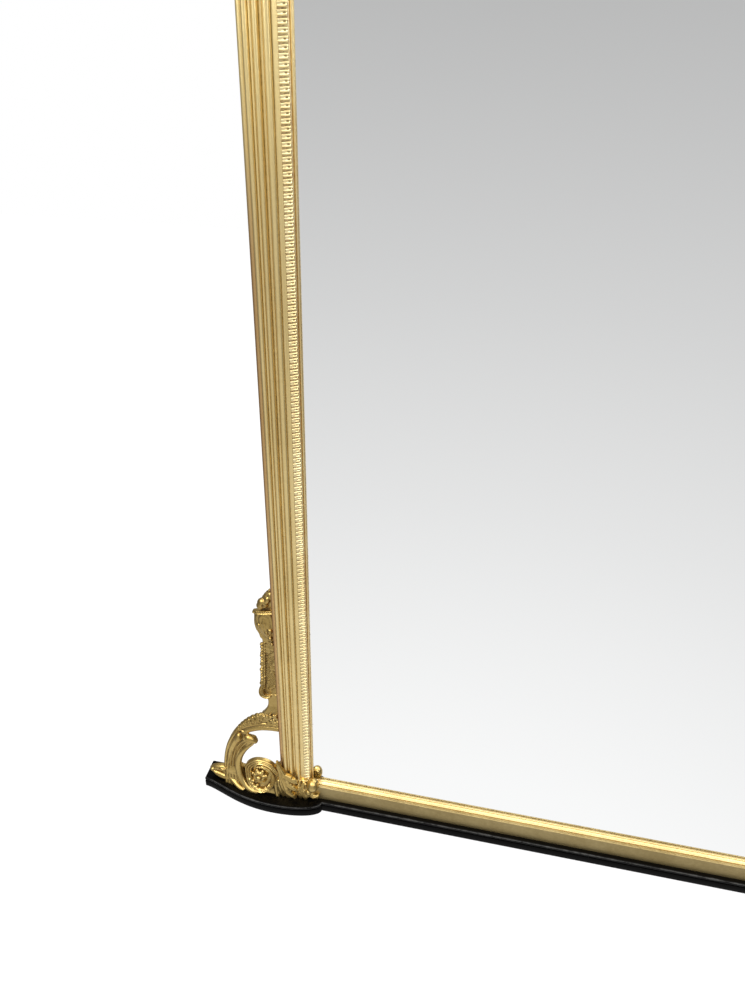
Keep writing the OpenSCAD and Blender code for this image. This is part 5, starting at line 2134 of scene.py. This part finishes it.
@dataclass
class Plinth:
    """The ebonised plinth: a straight board between two bowed ends, with a bead along its front."""

    shop: Workshop
    centre_depth: float = 62.0
    corner_depth: float = 55.0
    bow_depth: float = 95.0
    bow_run: float = 120.0
    bow_shoulder: float = 2.0
    bead: float = 4.4
    groove: float = 2.2
    corner_round: float = 2.5
    # the counterbores under the screws' heads, in metres
    bore_radius: float = 0.00505
    bore_depth: float = 0.004
    bore_overrun: float = 0.002
    bore_steps: int = 24

    def outline(self) -> np.ndarray:
        """Front edge of the right-hand end, from its joint round to its back corner, as (x, depth).

        Returns:
            The points of the edge.
        """
        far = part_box("plinth_end_right")[1].x / MM
        bow_x = DATUM.joint_x + self.bow_run
        points: list[Row] = []
        for t in np.linspace(0, math.pi / 2, 26):
            along, rise = math.cos(t) ** (
                2 / self.bow_shoulder
            ), math.sin(t) ** (2 / self.bow_shoulder)
            points.append((
                bow_x - self.bow_run * along,
                self.centre_depth + (self.bow_depth - self.centre_depth) * rise,
            ))
        for t in np.linspace(0, 1, 40)[1:]:
            fall = max(0.0, 1 - t**2.2) ** 1.5
            points.append((
                bow_x + (far - self.corner_round - bow_x) * t,
                self.corner_depth + (self.bow_depth - self.corner_depth) * fall,
            ))
        r = self.corner_round
        points += arc_points((far - r, self.corner_depth - r), r, 75, 0, 5)
        points += [(far, self.corner_depth * k / 4) for k in (3, 2, 1, 0)]
        return np.array(points)

    def profile(self) -> tuple[list[Row], list[float]]:
        """The moulded edge as (inset, height), from the underside up, and a number for each point
        that places the painted shade in the groove and the painted highlight on the bead.

        Returns:
            The points and their hollows.
        """
        top, r = DATUM.plinth_top, self.bead
        low = top - 2 * r
        points = [
            (0.8, 0.0), (0.0, 0.8), (0.0, low - 3.6), (0.5, low - 2.6), (self.groove, low - 2.0),
            (self.groove, low + 0.2)
        ]
        # 1 in the groove under the bead, where the ebonised finish paints shade
        hollow = [0.0, 0.0, 0.0, 0.2, 1.0, 1.0]
        for t in np.linspace(-60, 90, 11):
            points.append(
                (r - r * math.cos(math.radians(t)), top - r + r * math.sin(math.radians(t)))
            )
            # below 0 round 42 degrees up the bead, where the ebonised finish paints a highlight
            hollow.append(-math.exp(-(((t - 42) / 34) ** 2)))
        return points, hollow

    def board(
        self, name: str, edge: np.ndarray, normal: np.ndarray, corners: Sequence[Row], side: int = 1
    ) -> Obj:
        """A board with the moulded edge along its front.

        Args:
            name: the piece's name.
            edge: its front edge, as (x, depth).
            normal: the way out from the edge at each point.
            corners: its other corners, going on round from the edge's end.
            side: 1 on the right, -1 mirrored on the left.
        Returns:
            The board, with "hollow" on it.
        """
        profile, hollow = self.profile()
        top, count, columns = DATUM.plinth_top, len(profile), len(edge)
        places = [
            (x - n[0] * inset, v - n[1] * inset, z) for (x, v), n in zip(edge, normal)
            for inset, z in profile
        ]
        places += [(x, v, z) for x, v in corners for z in (0.0, top)]
        points = [(side * x * MM, (DATUM.wall - v) * MM, z * MM) for x, v, z in places]
        faces: list[tuple[int, ...]] = [
            (i * count + j, (i + 1) * count + j, (i + 1) * count + j + 1, i * count + j + 1)
            for i in range(columns - 1) for j in range(count - 1)
        ]
        ends = [columns * count + 2 * k for k in range(len(corners))]
        under = [i * count for i in range(columns)] + ends
        over = [i * count + count - 1 for i in range(columns)] + [end + 1 for end in ends]
        last = [(columns - 1) * count + j for j in range(count)]
        faces += [
            tuple(under[::-1]), tuple(over), (*last[::-1], ends[0], ends[0] + 1),
            (*range(count), ends[-1] + 1, ends[-1])
        ]
        faces += [(a + 1, a, b, b + 1) for a, b in zip(ends, ends[1:])]
        made = mesh_object(name, points, faces if side > 0 else [f[::-1] for f in faces], 30)
        keep_number(made.data, "hollow", hollow * columns + [0.0] * (2 * len(corners)))
        return made

    def end(self, side: int, name: str) -> Obj:
        """One bowed end block.

        Args:
            side: 1 on the right, -1 on the left.
            name: the piece's name.
        Returns:
            The block.
        """
        edge = self.outline()
        tangent = np.gradient(edge, axis=0)
        tangent /= np.linalg.norm(tangent, axis=1)[:, None]
        normal = np.stack([-tangent[:, 1], tangent[:, 0]], 1)
        normal[0] = (0, 1)
        normal[-4:] = (1, 0)
        return self.board(name, edge, normal, [(DATUM.joint_x, 0.0)], side)

    def centre(self, name: str) -> Obj:
        """The straight board between the ends.

        Args:
            name: the piece's name.
        Returns:
            The board.
        """
        x = DATUM.joint_x
        edge = np.array([(x * k, self.centre_depth) for k in np.linspace(-1, 1, 9)])
        return self.board(name, edge, np.tile((0.0, 1.0), (9, 1)), [(x, 0.0), (-x, 0.0)])

    def counterbored(self, board: Obj) -> None:
        """Sinks the plinth screws' heads into the underside of a board.

        Args:
            board: the board.
        """
        reach = [v.co.x for v in board.data.vertices]
        n = self.bore_steps
        sides = [(i, (i + 1) % n, n + (i + 1) % n, n + i) for i in range(n)]
        faces = [tuple(range(n - 1, -1, -1)), tuple(range(n, 2 * n))] + sides
        for place in screw_places("plinth_screws", 2):
            if not min(reach) < place[0] < max(reach):
                continue
            turns = np.linspace(0, 2 * math.pi, n, endpoint=False)
            ring = [polar(place, self.bore_radius, t) for t in turns]
            points = [(x, y, z) for z in (-self.bore_overrun, self.bore_depth) for x, y in ring]
            drill = mesh_object("drill", points, faces, 30)
            cut = board.modifiers.new("cut", "BOOLEAN")
            cut.operation, cut.object, cut.solver = "DIFFERENCE", drill, "EXACT"
            mesh = worked_out(board)
            board.modifiers.clear()
            board.data = mesh
            bpy.data.objects.remove(drill)

    def build(self) -> None:
        """Makes the three boards."""
        for board, node in (
            (self.end(-1, "plinth_end_left_nosed"), "plinth_end_left"),
            (self.end(1, "plinth_end_right_nosed"), "plinth_end_right"),
            (self.centre("plinth_centre_nosed"), "plinth_centre"),
        ):
            self.counterbored(board)
            self.shop.fit(board, Finish.EBONISED, node)


def screw_places(node: str, axis: int, apart: float = 0.012) -> list[Row]:
    """Places of a set of screws, from the solid that holds them.

    Args:
        node: the solid.
        axis: the axis that the screws are driven along.
        apart: metres within which points belong to one screw.
    Returns:
        The two other coordinates of each screw, in metres.
    """
    points = np.array([v.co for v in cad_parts[node].data.vertices])
    flat = np.delete(points, axis, 1)
    places: list[np.ndarray] = []
    groups: list[list[np.ndarray]] = []
    for point in flat:
        for number, place in enumerate(places):
            if np.linalg.norm(point - place) < apart:
                groups[number].append(point)
                break
        else:
            places.append(point)
            groups.append([point])
    return [tuple((np.min(g, 0) + np.max(g, 0)) / 2) for g in groups]


@dataclass
class BackAndFixings:
    """Backboards, battens, hangers, screws and what is hidden in the frame."""

    shop: Workshop
    steps: int = 16

    def screw_motif(self, name: str, radius: float, height: float) -> Obj:
        """A slotted countersunk head, lying in the plane z = 0.

        Args:
            name: its name.
            radius: its radius, in metres.
            height: how far it stands out, in metres.
        Returns:
            The head.
        """
        n, reach, slot = self.steps, 0.88 * radius, 0.16 * radius
        turns = [2 * math.pi * i / n for i in range(n)]
        ring = [(radius * math.cos(t), radius * math.sin(t)) for t in turns]
        points = [(x, y, 0.0) for x, y in ring] + [(x * 0.9, y * 0.9, height) for x, y in ring]
        half, base = n // 2, 2 * n
        corners = [(reach, slot), (-reach, slot), (-reach, -slot), (reach, -slot)]
        points += [(x, y, z) for z in (height, height * 0.3) for x, y in corners]
        faces: list[tuple[int, ...]] = [(i, (i + 1) % n, n + (i + 1) % n, n + i) for i in range(n)]
        upper = [n + i for i in range(0, half + 1)]
        lower = [n + i for i in range(half, n)] + [n]
        walls = [
            (base + k, base + (k + 1) % 4, base + 4 + (k + 1) % 4, base + 4 + k) for k in range(4)
        ]
        floor = tuple(range(base + 4, base + 8))
        faces += [
            (*upper, base + 1, base), (*lower, base + 3, base + 2), walls[0], walls[2], floor,
            walls[3], walls[1],
            (n, base, base + 3), (n + half, base + 2, base + 1),
        ]
        return mesh_object(name, points, faces, 30)

    def screw_repeater(self) -> Repeater:
        """The node tree that sets a head on each point, each turned by its own amount.

        Returns:
            The tree.
        """
        inputs = {
            "Places": "Geometry", "Head": "Object", "Facing": "Vector", "Seed": "Int",
            "Finish": "Material"
        }
        repeater = Repeater("screws", inputs, "Screws")
        given, result, points, head = repeater.add(
            "NodeGroupInput", "NodeGroupOutput", "GeometryNodeMeshToPoints",
            "GeometryNodeObjectInfo",
        )
        head.inputs["As Instance"].default_value = True
        face, chance, spin, turned = repeater.add(
            "FunctionNodeAlignRotationToVector", "FunctionNodeRandomValue",
            "FunctionNodeAxisAngleToRotation", "FunctionNodeRotateRotation",
        )
        face.axis, chance.data_type, turned.rotation_space = "Z", "FLOAT", "LOCAL"
        chance.inputs[3].default_value = 3.1
        spin.inputs["Axis"].default_value = (0, 0, 1)
        instance, realize, finish = repeater.add(
            "GeometryNodeInstanceOnPoints", "GeometryNodeRealizeInstances",
            "GeometryNodeSetMaterial",
        )
        repeater.link(
            (given, "Places", points, 0),
            (given, "Head", head, "Object"),
            (given, "Facing", face, "Vector"),
            (given, "Seed", chance, "Seed"),
            (chance, 1, spin, "Angle"),
            (face, 0, turned, "Rotation"),
            (spin, 0, turned, "Rotate By"),
            (points, 0, instance, "Points"),
            (head, "Geometry", instance, "Instance"),
            (turned, 0, instance, "Rotation"),
            (instance, 0, realize, 0),
            (realize, 0, finish, "Geometry"),
            (given, "Finish", finish, "Material"),
            (finish, 0, result, 0),
        )
        return repeater

    def screws(
        self, node: str, repeater: Repeater, finish: Finish, radius: float, proud: float
    ) -> None:
        """Replaces a set of plain screw heads with slotted ones.

        Args:
            node: the solid that holds the set.
            repeater: the node tree that sets the heads.
            finish: their finish.
            radius: their radius, in metres.
            proud: how far they stand out, in metres.
        """
        under = node == "plinth_screws"
        low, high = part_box(node)
        if under:
            points = [(x, y, low.z + proud) for x, y in screw_places(node, 2)]
        else:
            points = [(x, high.y - proud, z) for x, z in screw_places(node, 1)]
        mesh = bpy.data.meshes.new(node)
        mesh.from_pydata(points, [], [])
        head = self.screw_motif(node + " head", radius, proud)
        made = repeater.run(
            node + "_slotted", linked(node + " places", mesh), Head=head,
            Facing=(0.0, 0.0, -1.0) if under else (0.0, 1.0, 0.0),
            Seed=4, Finish=self.shop.materials[finish],
        )
        bpy.data.objects.remove(head)
        self.shop.fit(made, finish, node)

    def build(self) -> None:
        """Dresses the back and makes the screws."""
        self.shop.dress(Finish.GLASS, "mirror_plate")
        self.shop.dress(
            Finish.PINE, *[f"backboard_{i}" for i in range(1, 6)], "crest_batten", "glazing_blocks"
        )
        self.shop.dress(
            Finish.PINE_CROSS, "batten_lower", "batten_upper", "setting_blocks", "frame_dowels",
            "plinth_dowels",
        )
        self.shop.dress(
            Finish.BRASS, "hanger_strap_left", "hanger_strap_right", "hanger_ring_left",
            "hanger_ring_right",
        )
        repeater = self.screw_repeater()
        for node, finish, radius, proud in (
            ("backboard_screws", Finish.IRON, 0.0035, 0.0015),
            ("batten_screws", Finish.IRON, 0.0035, 0.0009),
            ("crest_screws", Finish.IRON, 0.0035, 0.0009),
            ("hanger_screws", Finish.BRASS, 0.0032, 0.0016),
            ("plinth_screws", Finish.IRON, 0.005, 0.003),
        ):
            self.screws(node, repeater, finish, radius, proud)


# ---------------------------------------------------------------- studio


@dataclass
class Studio:
    """Plain floor, soft light and pale surroundings."""

    floor_size: float = 14.0
    ambient: float = 0.62
    glow: float = 0.88
    floor_colour: float = 0.24

    def surroundings(self) -> None:
        """White behind the object, and the pale gradient that metal and glass reflect."""
        world = bpy.data.worlds.new("studio")
        bpy.context.scene.world = world
        world.use_nodes = True
        r = Recipe(world.node_tree)
        direction = r.node(
            "ShaderNodeSeparateXYZ", values={0: r.out("ShaderNodeTexCoord", output="Generated")}
        )
        x, y, z = (Signal(r, direction.outputs[k]) for k in range(3))
        stops = [
            (0.00, 1.00), (0.11, 0.956), (0.2425, 0.79), (0.367, 0.66), (0.4835, 0.552),
            (0.535, 0.503), (0.62, 0.52), (0.78, 0.95), (1.0, 0.80),
        ]
        ramp = r.out(
            "ShaderNodeValToRGB", {"stops": [(place, (v, v, v)) for place, v in stops]},
            {"Fac": z * 0.5 + 0.5}
        )
        # a broad soft light overhead, which only polished surfaces show
        overhead = z.ease(0.40, 0.62) * (1.0 - y.ease(-0.25, 0.10))
        ramp = r.mixed(overhead, ramp, (2.5, 2.45, 2.35))
        # darker towards the sides and behind the wall, which draws the reeds and the carving
        flank = x.size().ease(0.50, 0.76) * 0.78
        behind = y.ease(0.05, 0.5) * 0.4
        shaded = r.mixed(flank.larger(behind), ramp, (0.11, 0.105, 0.10))
        path = r.node("ShaderNodeLightPath")
        camera = Signal(r, path.outputs["Is Camera Ray"])
        seen = Signal(r, path.outputs["Is Glossy Ray"]).larger(
            Signal(r, path.outputs["Is Transmission Ray"])
        )
        plain_light = r.mixed(seen, (self.ambient,) * 3, shaded)
        colour = r.mixed(camera, plain_light, (1.0, 1.0, 1.0))
        background = r.out("ShaderNodeBackground", values={"Color": colour, "Strength": 1.0})
        r.node("ShaderNodeOutputWorld", values={"Surface": background})

    def floor(self) -> None:
        """A pale floor that the camera sees white and that keeps the object's shadow."""
        half = self.floor_size / 2
        floor = mesh_object(
            "floor", [(-half, -half, 0), (half, -half, 0), (half, half, 0), (-half, half, 0)],
            [(0, 1, 2, 3)],
        )
        material, r = new_material("studio floor")
        mottle = r.noise(2.0, 3.0, 0.5)
        colour = r.mixed(mottle, (self.floor_colour,) * 3, (self.floor_colour * 1.03,) * 3)
        matt = r.out("ShaderNodeBsdfDiffuse", values={"Color": colour})
        white = r.out("ShaderNodeEmission", values={"Color": (1, 1, 1), "Strength": self.glow})
        lit = r.out("ShaderNodeAddShader", values={0: matt, 1: white})
        away = r.out("ShaderNodeBsdfTransparent")
        camera = r.out("ShaderNodeLightPath", output="Is Camera Ray")
        r.node(
            "ShaderNodeOutputMaterial",
            values={"Surface": r.out("ShaderNodeMixShader", values={0: camera, 1: away, 2: lit})},
        )
        floor.data.materials.append(material)

    def lamp(
        self, name: str, place: Row, target: Row, size: float, watts: float,
        tint: Colour = (1, 1, 1),
    ) -> None:
        """A soft box aimed at a point.

        Args:
            name: its name.
            place: where it is.
            target: the point.
            size: length of its side.
            watts: its power.
            tint: its colour.
        """
        data = bpy.data.lights.new(name, "AREA")
        data.shape, data.size, data.energy, data.color = "SQUARE", size, watts, tint
        made = linked(name, data)
        made.location = place
        made.rotation_euler = (Vector(target) - Vector(place)).to_track_quat("-Z", "Y").to_euler()

    def build(self) -> None:
        """Sets up the studio."""
        self.surroundings()
        self.floor()
        self.lamp("key", (-2.0, -1.9, 2.7), (-0.4, 0.0, 0.7), 1.1, 36.0)
        self.lamp("fill", (2.6, -2.2, 2.4), (0.3, 0.0, 0.9), 1.4, 26.0)
        self.lamp("back", (0.0, 2.6, 3.0), (0.0, 0.0, 1.0), 2.0, 30.0)
        bpy.context.scene.view_settings.view_transform = "Standard"


@dataclass
class PhotoCamera:
    """The camera at the photograph's place and angle."""

    place: Row = (-0.273, -1.144, 1.600)
    forward: Row = (-0.15796, 0.84406, -0.51245)
    right: Row = (0.97981, 0.19840, 0.02477)
    lens: float = 25.92
    sensor: float = 36.0

    def build(self) -> None:
        """Makes the camera."""
        data = bpy.data.cameras.new("photo camera")
        data.lens, data.sensor_width = self.lens, self.sensor
        data.clip_start, data.clip_end = 0.05, 60.0
        camera = linked("photo camera", data)
        forward = Vector(self.forward).normalized()
        right = Vector(self.right).normalized()
        up = right.cross(forward)
        turn = Matrix((right, up, -forward)).transposed()
        camera.matrix_world = Matrix.Translation(self.place) @ turn.to_4x4()
        bpy.context.scene.camera = camera


def main() -> None:
    """Builds the mirror's looks."""
    logging.basicConfig(level=logging.INFO, format="%(name)s: %(message)s")
    shop = Workshop()
    Plinth(shop).build()
    Moulding(shop).build()
    Bracket(shop).build()
    Crest(shop).build()
    BackAndFixings(shop).build()
    Studio().build()
    PhotoCamera().build()


if __name__ == "__main__":
    main()
